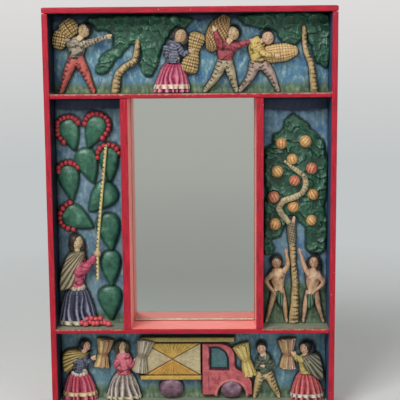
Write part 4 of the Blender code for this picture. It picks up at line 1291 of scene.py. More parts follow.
clay.plate(
    smooth_path(
        [(30, 80), (13, 79), (4, 62), (1, 48), (2, 38), (11, 39), (18, 45), (24, 60)], 1.2, closed=True,
    ),
    fan_folds(SHAWL_THICK + 4.4, (34, 89), 28, 0.9), khaki_shawl, fine=0.6,
)
clay.done("pink_painted_paste", "pole_woman")

# %% [markdown]
# ## Fruit tree of the right box
# Two bare dolls with leaf aprons reach up beside a trunk, and a speckled branch winds through the
# crown like a serpent. The crown has larger lips than the other trees, and round fruits with
# brushed stripes sit on it.

# %% Trunk, branch and crown
FRUIT = 6.2
apron_green = tempera("apron_green", "#2f4c36", "#203828", "#66866a", wash_and_shade_tone="#14231a")
deep_green = tempera("deep_green", "#285f44", "#1a4432", "#6f9f84", 0.44, wash_and_shade_tone="#091c17")
speckled_cream = tempera(
    "speckled_cream", "#c4b28b", "#978a64", "#e4d8b8", marks=(3.4, 0.7, -2.0, 1.6, "#6f654c")
)
striped_fruits = [
    tempera(f"{name}_fruit", body, shade, light, 0.46, (2.3, 0.8, stripe), "#4a2c16")
    for name, body, shade, light, stripe in (
        ("orange", "#d9ac70", "#c79455", "#edd09c", "#a5683c"),
        ("gold", "#dbb77a", "#cba062", "#efd8a8", "#ad7440"),
        ("blushed", "#d5936a", "#c7745a", "#ebc196", "#9c4a3a"),
    )
]
clay = trunk(
    right, [(34, 1.2), (35, 20), (35.5, 45), (33.5, 65), (32, 88), (31.5, 98), (31, 112)],
    [5.4, 4.2, 3.4, 3.1, 3.3, 4.1, 4.4], mottled_bark,
)
clay.roll([(32, 110, 5), (33.4, 115, 5.5), (33.8, 118, 6)], [2.2, 1.8, 1.1], rose_skin, fine=0.6)
clay.done("ochre_painted_paste", "tree_trunk")
clay = Clay(right)
branch = [(28, 112), (20, 122), (17.8, 128.5), (23, 135.5), (32, 138.5), (41.5, 143.5), (46, 152),
          (44, 161.5), (35, 169), (23.5, 178)]
clay.roll(
    [(*point, 6.4) for point in branch], [2.8, 3.1, 3.3, 3.3, 3.2, 3.1, 3.0, 2.7, 2.3, 1.4],
    speckled_cream, 1.0, ring_notches(3.2, 0.3, 5.0),
)
clay.done("cream_painted_paste", "serpent_branch")
clay = crown(right, [
    (33, 228), (24, 221), (20.5, 210), (12, 207), (11, 197), (2, 191), (3, 175), (1.5, 160), (5, 144),
    (1.5, 131), (3, 115), (1.5, 97), (1.5, 79), (10, 77), (13, 83), (9, 91), (19, 96), (25, 110), (31, 120),
    (40, 112), (47, 102), (47.5, 90), (49, 80), (57, 77), (66, 79), (69.5, 92), (69.8, 114), (67, 126),
    (69.8, 141), (68, 152), (69.8, 170), (69, 184),
    (67, 190), (65, 197), (60, 205), (53, 211), (47, 219), (40, 224),
], deep_green, 11.0, 3.0, 5)
fruit_places = (
    (19.5, 197), (45.5, 199), (31.5, 180), (15.5, 167), (52.5, 170), (34, 157), (11.5, 139.5), (54, 142),
    (33, 128.5), (13, 110), (52.5, 114),
)
for i, place in enumerate(fruit_places):
    size = FRUIT * (1 + 0.06 * math.sin(i * 2.3))
    paint = striped_fruits[(i * i + i // 3) % 3]
    clay.ball((*place, CROWN_THICK), (size, size, size), paint, lean=40 * math.sin(i * 1.7))
clay.done("green_painted_paste", "tree_crown")

# %% [markdown]
# ## Bare figures
# A man and a woman with leaf aprons reach for the trunk. They are the same doll, smaller and slimmer,
# with broader shoulders, and one skin paint stands in for all the clothes. The aprons are small plates
# with folds from a hub above them.

# %% Bare figures
BARE_SCALE = 0.84
beige_skin = tempera("beige_skin", "#c29b76", "#98734f", "#e6ccaa", wash_and_shade_tone="#2e1d15")
dusky_skin = tempera("dusky_skin", "#c69f80", "#9d7456", "#e8ccb0", wash_and_shade_tone="#2e1d15")
APRON_THICK = 7.7
for node, skin, outline, pose in (
    ("bare_man", beige_skin, [(13.5, 36), (23, 35), (23.5, 24), (20.5, 17), (16, 23)], dict(
        head=(15, 68), chest=(16, 55), waist=(17, 40), turn=8, hair=(0.0, 1.6, 1.6),
        arms=[((10, 55), (4, 47.5), (13, 34)), ((22, 57), (27, 66), (25, 81))],
        legs=[((14, 38), (9, 20), (5, 4.5)), ((20, 38), (24, 21), (26, 4.5))],
    )),
    ("bare_woman", dusky_skin, [(47.5, 34), (57, 33), (56, 21), (51.5, 15), (47.5, 21)], dict(
        head=(56, 68), chest=(55, 54), waist=(54, 37), turn=-8, hair=(1.6, 0.6, 1.6),
        arms=[((50, 55), (45, 64), (40, 81)), ((60.5, 54), (65.5, 45.5), (54, 34))],
        legs=[((50.5, 35), (47, 20), (45, 4.5)), ((58, 35), (61, 20), (65.5, 4.5))],
    )),
):
    locks = [[(4.4, 2, -1), (5.6, -5, -1), (5, -12, -1)], [(-4, 2, -1), (-5, -4, -1), (-4, -9, 0)]]
    clay = person(right, size=BARE_SCALE, wear=dict(
        skin=skin, jacket=skin, sleeves=(skin,) * 2, trousers=skin, hair=brown_hair, bare=True,
        locks=locks if node == "bare_woman" else (),
    ), **pose)
    clay.plate(
        smooth_path(outline, 0.8, closed=True),
        fan_folds(APRON_THICK, (np.mean(outline, 0)[0], 42), 11, 0.5), apron_green, fine=0.55,
    )
    clay.done("skin_painted_paste", node)

# %% [markdown]
# ## Tied sheaves
# A sheaf is a handful of stalks that cross at a tie and spread above and below it. A second Geometry
# Nodes tree draws the stalks: straight lines are given a random place in the bundle, squeezed at the
# tie and spread by named amounts, and then skinned as rods with cut ends. The straight sheaf is then
# bent along the line in which the figure holds it.

# %% Sheaf by geometry nodes
ROD_SIDES, STALK_JOINTS = 7, 15
OPENING_POWER = 0.85
SHEAF_INPUTS = {
    "Base": "Geometry", "Stalks": "Int", "Thickness": "Float", "Tie": "Float", "Upper Spread": "Float",
    "Lower Spread": "Float", "Upper Length": "Float", "Lower Length": "Float", "Flat": "Float", "Seed": "Int",
    "Finish": "Material",
}
sheaf_tree, given = new_tree("tied_sheaf", SHEAF_INPUTS, "Stalk Rods")
tree = sheaf_tree
spots = add(tree, "GeometryNodeMeshLine", {"Count": given["Stalks"], "Offset": (0.0, 0.0, 0.0)})
stalk = add(tree, "GeometryNodeCurvePrimitiveLine", {"Start": (0.0, -1.0, 0.0), "End": (0.0, 1.0, 0.0)})
stalk = add(tree, "GeometryNodeResampleCurve", {"Curve": stalk, "Count": STALK_JOINTS})
bunch = add(tree, "GeometryNodeInstanceOnPoints", {"Points": spots, "Instance": stalk})
draw = add(tree, "FunctionNodeRandomValue", {
    0: (-1.0, 0.3, 0.9), 1: (1.0, 1.0, 1.02), "Seed": given["Seed"],
}, data_type="FLOAT_VECTOR")
kept = add(tree, "GeometryNodeStoreNamedAttribute", {
    "Geometry": bunch, "Name": "share", "Value": draw,
}, data_type="FLOAT_VECTOR", domain="INSTANCE")
loose = add(tree, "GeometryNodeRealizeInstances", {0: kept})
share = add(tree, "SeparateXYZ", {
    0: add(tree, "GeometryNodeInputNamedAttribute", {"Name": "share"}, data_type="FLOAT_VECTOR"),
}, out="all")
height = add(tree, "SeparateXYZ", {0: add(tree, "GeometryNodeInputPosition")}, out="Y")
upper = add(tree, "Math", {0: height, 1: 0.0}, operation="GREATER_THAN")
spread, long = (
    add(tree, "Mix", {0: upper, 2: given[f"Lower {what}"], 3: given[f"Upper {what}"]})
    for what in ("Spread", "Length")
)
away = add(tree, "Math", {0: height}, operation="ABSOLUTE")
opened = add(tree, "Math", {0: away, 1: OPENING_POWER}, operation="POWER")
half = add(tree, "Mix", {0: opened, 2: given["Tie"], 3: spread})
aside = add(tree, "Math", {0: share[0], 1: half}, operation="MULTIPLY")
squared = add(tree, "Math", {0: share[0], 1: share[0]}, operation="MULTIPLY")
forward = add(tree, "Math", {0: 1.0, 1: squared}, operation="SUBTRACT")
forward = add(tree, "Math", {0: forward, 1: 0.5}, operation="POWER")
for factor in (share[1], half, given["Flat"]):
    forward = add(tree, "Math", {0: forward, 1: factor}, operation="MULTIPLY")
reach = height
for factor in (share[2], long):
    reach = add(tree, "Math", {0: reach, 1: factor}, operation="MULTIPLY")
laid = add(tree, "GeometryNodeSetPosition", {
    "Geometry": loose,
    "Position": add(tree, "CombineXYZ", {0: aside, 1: reach, 2: forward}),
})
round_end = add(tree, "GeometryNodeCurvePrimitiveCircle", {
    "Resolution": ROD_SIDES, "Radius": given["Thickness"],
})
rods = add(tree, "GeometryNodeCurveToMesh", {
    "Curve": laid, "Profile Curve": round_end, "Fill Caps": True,
})
plain = add(tree, "GeometryNodeTriangulate", {"Mesh": rods})
whole = add(tree, "GeometryNodeRealizeInstances", {0: plain})
finished = add(tree, "GeometryNodeSetMaterial", {0: whole, "Material": given["Finish"]})
add(tree, "NodeGroupOutput", {0: finished})
print("tied_sheaf:", len(tree.nodes), "nodes")

# %% [markdown]
# ## Bending a sheaf
# The people hold their sheaves at a slant, so the straight stalks are bent along five points with the tie
# in the middle. A scored core fills the bundle, stalks in two or three straw colours lie round its front,
# and a short band is the tie. A curve modifier would bend them too; on plain points the hidden side of
# each stalk is known as well, and the painted shade on it and the painted highlight on its front need that.

# %% Sheaves
STALKS, STALK = 8, 1.6
SHEAF_FLAT = 0.6


def sheaf(box, node, path, radii, paints, seed, lift):
    """Stalks in two or three straw paints, bent along a path whose middle point is the tie; a lift
    brings the sheaf out in front of what stands behind it."""
    clay = Clay(box)
    path = np.array(path, float)
    line = smooth_path(path, 0.8)
    arc = np.concatenate([[0], np.cumsum(np.linalg.norm(np.diff(line, axis=0), axis=1))])
    tie = int(np.argmin(np.linalg.norm(line - path[2], axis=1)))
    along = np.gradient(line, axis=0)
    along /= np.linalg.norm(along, axis=1)[:, None]
    out = max(radii) * SHEAF_FLAT * 0.45 + lift
    core = np.array(radii) * (0.8, 0.8, 0.9, 0.8, 0.8)
    clay.roll(
        [(*point, out) for point in path], core, paints[0], SHEAF_FLAT, strands(15, 0.5, seed=seed),
        blunt=(0.1, 0.1),
    )
    for turn, paint in enumerate(paints):
        points, faces = grown(sheaf_tree, bpy.data.meshes.new("base"), {
            "Stalks": STALKS, "Thickness": STALK, "Tie": radii[2] - STALK / 2,
            "Upper Spread": radii[0] - STALK / 2, "Lower Spread": radii[4] - STALK / 2,
            "Upper Length": float(arc[tie]), "Lower Length": float(arc[-1] - arc[tie]),
            "Flat": SHEAF_FLAT * 1.15, "Seed": seed * 7 + turn, "Finish": paint,
        })
        at = arc[tie] - points[:, 1]
        centre, way = (
            np.column_stack([np.interp(at, arc, values[:, i]) for i in (0, 1)]) for values in (line, along)
        )
        beyond = np.minimum(at, 0) + np.maximum(at - arc[-1], 0)
        spots = centre + way * beyond[:, None]
        spots = spots + np.column_stack([-way[:, 1], way[:, 0]]) * points[:, :1]
        rods = points[:, 2].reshape(-1, ROD_SIDES)
        proud = (rods - rods.mean(1, keepdims=True)).ravel() / STALK
        # Painted light: shade deep in the bundle, on each stalk's hidden side and round the tie, a highlight
        # on each stalk's front.
        hollow = np.interp(points[:, 2], (0, 2.0, 5.0), (0.9, 0.35, -0.1)) - 0.55 * proud
        hollow = hollow + 0.6 * np.exp(-(points[:, 1] / 2.0) ** 2)
        clay.graft(np.column_stack([spots, out + points[:, 2]]), faces, paint, hollow)
    clay.roll(
        [(*(line[tie] - along[tie] * 0.45), out), (*(line[tie] + along[tie] * 0.45), out)],
        [radii[2] + 0.5] * 2, paints[0], SHEAF_FLAT + 0.3, strands(9, 0.2, 0.4), blunt=(0.15, 0.15), fine=0.4,
    )
    return clay.done("straw_painted_paste", node)


straw_tones = {
    name: tempera(f"{name}_straw", body, shade, light, wash_and_shade_tone="#2f2413")
    for name, body, shade, light in (
        ("gold", "#bd9a5c", "#94733f", "#e2cb96"), ("lilac", "#a68f7f", "#836c5e", "#e0d0c1"),
        ("grey", "#857b64", "#635b47", "#c9c0a8"), ("yellow", "#b99f52", "#96803c", "#e0cd8c"),
        ("orange", "#b9774e", "#9c5f3c", "#d59f76"), ("tan", "#96714f", "#77573b", "#bf9c78"),
        ("rose", "#d6b4a4", "#b98e7e", "#f2e2d6"),
    )
}
gold, lilac, grey, yellow, orange, tan, rose = straw_tones.values()
for node, paints, lift, path, radii in (
    ("first_sheaf", (tan, gold, rose), 0, [(50, 67.5), (49, 60), (47, 50.5), (46, 44), (45, 35.5)],
     [9.6, 8.4, 5, 7.2, 8.8]),
    ("second_sheaf", (grey, lilac, grey), 5, [(95, 67.5), (93.5, 60), (90.5, 50), (89, 42), (87.8, 31)],
     [9.6, 8.2, 5, 7.2, 8.8]),
    ("third_sheaf", (yellow, yellow, orange), 1,
     [(198.5, 61), (201, 54), (204.3, 44), (206.5, 36), (209, 25.5)], [9.8, 8.2, 4.8, 6.8, 8.6]),
    ("fourth_sheaf", (tan, gold, rose), 0,
     [(249.5, 67.5), (250, 59.5), (250.8, 50), (250.6, 42.5), (250.4, 33.5)], [9.8, 8.4, 5.2, 7.2, 8.8]),
):
    sheaf(bottom, node, path, radii, paints, len(node), lift)

# %% [markdown]
# ## People of the bottom box
# Three women in pleated skirts and a man with folded arms stand among the sheaves. The skirts have
# deep pleats whose ridges are pale, partly dry brush and partly a painted highlight, and a cream band
# above the hem.

# %% Paints of the bottom box
navy_jacket = tempera("navy_jacket", "#343947", "#232632", "#6c7183", marks=(3.2, 0.6, -4.0, 4.0, "#70778a"))
crimson_skirt = tempera("crimson_skirt", "#ad2c46", "#861e37", "#e88f9e", wash_and_shade_tone="#360817")
cream_band = tempera("cream_band", "#d2b98a", "#b8996a", "#ecdcb6", wash_and_shade_tone="#7d3a35")
straw_shawl = tempera("straw_shawl", "#8f773c", "#6f5a2b", "#c2a964", wash_and_shade_tone="#2a210d")
pink_blouse = tempera("pink_blouse", "#b54b5b", "#943645", "#d98791", wash_and_shade_tone="#4c121e")
lilac_skirt = tempera("lilac_skirt", "#8c7d74", "#62544d", "#f2e8dd", wash_and_shade_tone="#1c1413")
olive_hair = tempera("olive_hair", "#37331f", "#221f16", "#79714f", 0.5)
white_band = tempera("white_band", "#d8d0c2", "#b9aea2", "#efe9df")
green_jacket = tempera(
    "green_jacket", "#35432f", "#232e24", "#627260", marks=(3.4, 0.6, -4.0, 4.0, "#5f6f5c")
)
straw_trousers = tempera("straw_trousers", "#bda473", "#9f8556", "#d9c59a", marks=(4.2, 1.4, 0.2, 5.0, INK))
coral_skirt = tempera("coral_skirt", "#b64347", "#933037", "#ee9c93", wash_and_shade_tone="#400e14")
grey_shawl = tempera("grey_shawl", "#5c5949", "#434134", "#98947d", wash_and_shade_tone="#181610")
olive_sleeve = tempera("olive_sleeve", "#ac9650", "#8d7a3c", "#d0bd7c")
print("paints so far:", len(bpy.data.materials))

# %% [markdown]
# ## Posing the bottom box
# Two of the women have a shawl over one shoulder. It is a plate laid over the doll, thick enough to lie in
# front of the jacket, with folds that fan out from a hub where the cloth is gathered.

# %% People of the bottom box
clay = person(
    bottom, (28.5, 60), (22, 44), (20, 30),
    [((26.5, 43), (31, 42), (36.5, 47)), ((17, 43), (17, 36), (25, 33))],
    dress=((21, 1), 8, 18), hair=(-2.4, 1.2, 1.0), turn=20,
    wear=dict(skin=rose_skin, hair=black_hair, head=0.76, jacket=navy_jacket, sleeves=(navy_jacket,) * 2,
              skirt=crimson_skirt, frill=cream_band, band=white_band, pleats=15, frill_at=(4.4, 8.4),
              locks=[[(-5.4, 2, -1), (-6.4, -5, 0), (-3.6, -10, 0.5)]]),
)
clay.plate(
    smooth_path([
        (33, 53), (28, 52.5), (17, 56.5), (5, 54), (1.5, 45), (3, 32), (9, 30.5), (20, 41),
    ], 1.0, closed=True),
    fan_folds(SHAWL_THICK + 3.6, (37, 55), 28, 0.8), straw_shawl, fine=0.5,
)
clay.done("pink_painted_paste", "shawl_woman")
person(
    bottom, (68, 60), (69.5, 44), (69.5, 30),
    [((75, 44), (77, 38), (84, 45)), ((64, 44), (62.5, 37), (70, 34))],
    dress=((69.5, 1), 6.6, 18), hair=(-2.2, 1.0, 0.6), turn=26,
    wear=dict(skin=pale_skin, hair=olive_hair, head=0.74, hair_spare=0.3,
              jacket=pink_blouse, sleeves=(pink_blouse,) * 2,
              skirt=lilac_skirt, frill=cream_cloth, band=pink_blouse, pleats=14, frill_at=(1.0, 4.0),
              locks=[[(-5, 2, -1), (-5.6, -4, 0), (-4, -9, 0)], [(4.6, 2, -1), (5, -4, 0), (3.4, -9, 0)]]),
).done("pink_painted_paste", "blouse_woman")
person(
    bottom, (221.6, 57), (225, 43), (225, 30),
    [((219, 43), (217.5, 36), (228, 35.5)), ((231, 43), (233.5, 36), (223, 38, 9))],
    [((221, 28), (217.5, 15), (214.5, 4)), ((229, 28), (234.5, 15), (240, 4))], turn=-4, size=0.92,
    wear=dict(skin=rose_skin, hair=black_hair, head=0.86, jacket=green_jacket, sleeves=(green_jacket,) * 2,
              collar=green_jacket, trousers=straw_trousers, belt=green_jacket),
).done("green_painted_paste", "green_jacket_man")
clay = person(
    bottom, (269, 57), (271, 43), (271, 30),
    [((266, 44), (261, 46), (256.5, 51))],
    dress=((272, 1), 6.4, 17.5), hair=(2.2, 1.6, 1.0), turn=-24,
    wear=dict(skin=rose_skin, hair=black_hair, head=0.84, jacket=olive_sleeve, sleeves=(olive_sleeve,) * 2,
              skirt=coral_skirt, frill=white_band, pleats=16, frill_at=(2.6, 6.4),
              locks=[[(5.4, 2, -1), (7, -5, 0), (5, -10, 0.5)], [(6, 5, -2), (8.4, -1, -1), (8, -7, 0)]]),
)
clay.plate(
    smooth_path([
        (264, 47), (268, 50), (277, 52), (285.6, 49), (290, 33), (289.6, 21), (282, 23), (272, 31), (266, 38),
    ], 1.0, closed=True),
    fan_folds(SHAWL_THICK + 4.8, (258, 62), 26, 0.75), grey_shawl, fine=0.5,
)
clay.done("pink_painted_paste", "grey_shawl_woman")

# %% [markdown]
# ## The truck
# The load bed is a board with crossed grooves: four cushions meet at the crossing, the upper and
# lower ones yellow and the side ones pale, all scored with lines that run to the middle. Each is a plate
# whose height is a short rule of the place on it.

# %% Truck bed
BED_THICK, BED_LINES = 7.0, 46
BAR_ROUND = 1.6
bed_yellow = tempera("bed_yellow", "#c2a04c", "#a78338", "#dcc178", wash_and_shade_tone="#33240f")
bed_orange = tempera("bed_orange", "#c2933f", "#a87631", "#dcb76c", wash_and_shade_tone="#33240f")
bed_pale = tempera("bed_pale", "#bdae88", "#a08f68", "#dcd2b4", wash_and_shade_tone="#3d2f18")
canopy_olive = tempera("canopy_olive", "#b3a05a", "#968446", "#cfc08a", wash_and_shade_tone="#2c2210")

bed_low, bed_high = np.array((92.5, 27.4)), np.array((154.8, 63.2))
bed_middle = (bed_low + bed_high) / 2
bed_corners = [bed_low, (bed_high[0], bed_low[1]), bed_high, (bed_low[0], bed_high[1])]


def cushion(x, z, depth):
    """Padded panel scored towards the crossing."""
    angle = np.arctan2((z - bed_middle[1]) * 1.75, x - bed_middle[0])
    away = np.hypot(x - bed_middle[0], z - bed_middle[1])
    ray = angle * BED_LINES / math.tau + 0.25 * grain(np.column_stack([angle * 9, away / 7]), 1.0)
    off_line = np.abs(ray - np.round(ray)) * math.tau / BED_LINES * away
    score = np.clip(1 - off_line / 0.42, 0, 1) * np.clip(away / 8 - 0.5, 0, 1)
    edge = np.clip(depth / 2.2, 0, 1)
    height = BED_THICK + 1.1 * np.sqrt(1 - (1 - edge) ** 2) - 0.35 * score
    # Wash and painted shade in the scored lines, painted shade along the rim, a faint painted highlight
    # between.
    return height, 0.8 * score - 0.15 + 0.8 * np.clip(1 - depth / 0.55, 0, 1)


def bar(height):
    """Flat strip with rounded edges."""

    def rise(x, z, depth):
        edge = np.clip(depth / BAR_ROUND, 0, 1)
        worn = 0.15 * grain(np.column_stack([x, z]), 3.0)
        # Painted shade along the strip's rounded edges, a faint painted highlight on its face.
        return height - 1.2 * (1 - edge) ** 2 + worn, np.clip(0.8 - depth / 0.9, -0.25, 0.8)

    return rise


def box_outline(x0, z0, x1, z1):
    return np.array([(x0, z0), (x1, z0), (x1, z1), (x0, z1)], float)


clay = Clay(bottom)
clay.plate(box_outline(92, 27, 155.3, 63.6), bar(BED_THICK - 0.6), ink, fine=1.2)
for i, paint in enumerate((bed_orange, bed_pale, bed_yellow, bed_pale)):
    corners = np.array([bed_corners[i], bed_corners[(i + 1) % 4], bed_middle], float)
    heart = corners.mean(0)
    clay.plate(heart + (corners - heart) * 0.99, cushion, paint, fine=0.4, back=BED_THICK - 2)
clay.plate(box_outline(88, 21.5, 155.5, 27.2), bar(BED_THICK + 1.6), bed_yellow, fine=0.7)
clay.plate(box_outline(89, 64.4, 192, 70.2), bar(BED_THICK + 1.3), canopy_olive, fine=0.7)
clay.done("straw_painted_paste", "truck_bed")

# %% [markdown]
# ## Cab and wheels
# The cab is one plate cut round the wheel arch, with a window pressed in and outlined in navy, a raised rim
# over the wheel and painted lines. The wheels are flattened balls with a lumpy skin.

# %% Cab and wheels
CAB_THICK = 7.6
ARCH, ARCH_RIM = 15.5, 17.2
cab_red = tempera("cab_red", "#c06064", "#913941", "#de948e", wash_and_shade_tone="#3a0f14")
rim_salmon = tempera("rim_salmon", "#cb7b73", "#b3615d", "#e2a598", wash_and_shade_tone="#5c1f1f")
window_teal = tempera("window_teal", "#3d6467", "#2c4e54", "#7d9f9c", 0.4, wash_and_shade_tone="#16282c")
navy_line = tempera("navy_line", "#1b1d33", "#121322", "#3a3d58")
wheel_mauve = tempera("wheel_mauve", "#836272", "#604455", "#b698a3", 0.44, wash_and_shade_tone="#1d131d")
arch_turn = np.linspace(0, math.pi, 19)
arch_middle = np.array((188.6, 4.0))
arch_way = np.column_stack([np.cos(arch_turn), np.sin(arch_turn)])
arch = arch_middle + ARCH * arch_way
window = np.array([
    (164.6, 33.5), (164.6, 59), (173.6, 59), (179, 56.2), (182.6, 53), (185, 47), (185.6, 43), (185.6, 33.5),
])


def cab_face(x, z, depth):
    """Body panel with a sunk window."""
    edge = np.clip(depth / 1.8, 0, 1)
    into = inside_depth(np.column_stack([x, z]), window)[0]
    dent = 0.2 * grain(np.column_stack([x, z]), 6.0, 2.0)
    height = CAB_THICK * (0.7 + 0.3 * np.sqrt(1 - (1 - edge) ** 2)) + dent - 2.4 * np.clip(into + 0.6, 0, 1)
    # Painted shade along the panel's rim and round and in the sunk window.
    return height, np.clip(0.8 - depth / 1.0, -0.1, 0.8) + 0.6 * np.clip(into + 1, 0, 1)


clay = Clay(bottom)
body = smooth_path(
    [(177.6, 62.8), (185.6, 60), (190.4, 55), (192.4, 48), (193.6, 35), (205.6, 28), (211, 19)], 2.0,
)
clay.plate(
    np.vstack([[(156.2, 4), (156.2, 62.8)], body, [(212, 4)], arch]), cab_face, cab_red, fine=0.6,
)
into_window = window.mean(0) + (window - window.mean(0)) * 0.9
clay.plate(into_window, bar(CAB_THICK - 0.9), window_teal, fine=0.7, back=CAB_THICK - 4)
for a, b in zip(window, np.roll(window, -1, axis=0)):
    clay.roll([(*a, CAB_THICK - 0.6), (*b, CAB_THICK - 0.6)], [0.9, 0.9], navy_line)
rim = arch_middle + ARCH_RIM * arch_way
clay.roll(np.column_stack([rim, np.full(len(rim), CAB_THICK - 0.2)]), np.full(len(rim), 1.5), rim_salmon, 0.8)
clay.roll([(164, 30.8, CAB_THICK - 0.3), (192, 30.8, CAB_THICK - 0.3)], [0.6, 0.5], rim_salmon)
clay.roll([(163.6, 8, CAB_THICK - 0.35), (163.6, 61, CAB_THICK - 0.35)], [0.45, 0.45], ink)
clay.done("pink_painted_paste", "truck_cab")
for node, place, half in (
    ("rear_wheel", (122, 11.8, 5.0), (13, 7, 11.4)), ("front_wheel", (188.6, 11, 5.0), (11.8, 7, 10.8)),
):
    clay = Clay(bottom)
    clay.ball(place, half, wheel_mauve, lumps(0.3, 2.4, seed=place[0]))
    clay.done("violet_painted_paste", node)

# %% [markdown]
# ## Enamel on the slats
# The frame is brushed with crimson enamel: streaks along each slat, warmer patches, a few pale flecks, and
# edges rubbed to pink. Inside each box the slats carry the colours of the scene, blue walls and a
# grey-green floor, with navy painted shade on each box's left wall and ceiling; round the looking glass the
# faces are salmon, a painted sheen and reflection. One material lays all of these as coats.
# Four numbers stored on the slats tell it how near an edge is, where a shelf's front lip has lost its
# red, how deep a spot lies inside a box, and whether it is a floor, a wall, a ceiling or by the glass.

# %% Enamel of the slats
BRISTLE, STROKE = 1.1, 18.0
SHARP = np.array((0.999, 1.001))
enamel, tree, shader = finish_for("crimson_enamel", 0.5, IOR=1.44)
spot = add(tree, "TexCoord", out="Object")
arris, inside, level, lip = (
    add(tree, "Attribute", out="Fac", attribute_name=name)
    for name in ("arris", "inside", "level", "lip")
)
drawn_out = add(tree, "VectorMath", {
    0: add(tree, "UVMap", uv_map="paint_map"), 1: (1 / BRISTLE, 1 / STROKE, 1.0),
}, operation="MULTIPLY")
brush = add(tree, "TexNoise", {"Vector": drawn_out, "Scale": 1.0, "Detail": 4.0})
patch, fleck, wear = (
    add(tree, "TexNoise", {"Vector": spot, "Scale": 1 / (size * MM), "Detail": detail})
    for size, detail in ((16, 3.0), (2.2, 2.0), (3.5, 5.0))
)
# The last pair is salmon, a painted sheen and reflection for the faces round the glass.
red, wall, earth, salmon_painted_sheen = (
    coat(tree, deep, pale, brush, 0.35, 0.68) for deep, pale in (
        ("#87021a", "#c20a2c"), ("#1f3152", "#456891"), ("#76836c", "#a5ab92"), ("#ec7c75", "#f9a59d"),
    )
)
for tone, value, low, high, most, stir in (
    ("#b71b36", patch, 0.45, 0.75, 0.5, 0.0), ("#dfa3a6", fleck, 0.71, 0.76, 0.65, 0.0),
    ("#d8747c", arris, 1.8, 1.15, 0.75, 3.4), ("#c4a28c", lip, 1.9, 2.6, 0.6, 2.6),
):
    red = coat(tree, red, tone, value, low, high, most, wear, stir)
# Painted shade: navy on each box's left wall, darker navy on its ceiling; salmon by the glass paints a sheen
# and reflection.
scene_side = coat(tree, wall, "#12182c", level, -0.1, -0.25)
for tone, turn in ((earth, 0.5), ("#1b2034", -0.5), (salmon_painted_sheen, 1.5)):
    scene_side = coat(tree, scene_side, tone, level, *(turn * SHARP).tolist())
colour = coat(tree, red, scene_side, inside, 1.4, 2.0, 1.0, wear, 3.0)
sheen = add(tree, "MapRange", {"Value": brush, "To Min": 0.4, "To Max": 0.66})
furrows = add(tree, "Bump", {"Height": brush, "Strength": 0.5, "Distance": 0.15 * MM})
wire(shader, Base_Color=colour, Roughness=sheen, Normal=furrows)
print("crimson_enamel:", len(tree.nodes), "nodes")

# %% [markdown]
# ## Slats
# The frame is thin softwood nailed edge to edge. Planing, handling and age leave slightly wavy faces, round
# edges and small nicks. A bevelled box would give the edges only, so each slat is a stack of rounded
# rectangles along its length, drawn in by a little noise.

# %% Slats
FRONT = cad_box[0][1] / MM
EDGE_ROUND, RING_STEP, STATION_STEP = 0.8, 1.5, 2.0
RAIL_TAPER, BUTT_TAPER = 0.7, 0.1
PAINT_STEP, LIP_DEEP = 1.6, 1.6
WALL_REACH = 0.9
FLOOR, SIDE, CEILING, BY_GLASS = 1, -0.3, -1, 2
OPENING_REACH = np.array((-2.0, -60.0, -2.0))
glass_low, glass_high = (np.array(corner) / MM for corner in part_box("mirror_glass"))


def rounded_ring(half_p, half_q):
    """Points round a rounded rectangle and the outward way at each."""
    spots, ways = [], []
    corners = np.array([(1, 1), (-1, 1), (-1, -1), (1, -1)]) * (half_p - EDGE_ROUND, half_q - EDGE_ROUND)
    for k, (here, after) in enumerate(zip(corners, np.roll(corners, -1, axis=0))):
        for angle in np.radians((0, 30, 60, 90)) + k * math.pi / 2:
            ways.append(np.array((math.cos(angle), math.sin(angle))))
            spots.append(here + EDGE_ROUND * ways[-1])
        steps = max(2, round(np.linalg.norm(after - here) / RING_STEP))
        for share in np.linspace(0, 1, steps + 1)[1:-1]:
            spots.append(here + (after - here) * share + EDGE_ROUND * ways[-1])
            ways.append(ways[-1])
    return np.array(spots), np.array(ways)


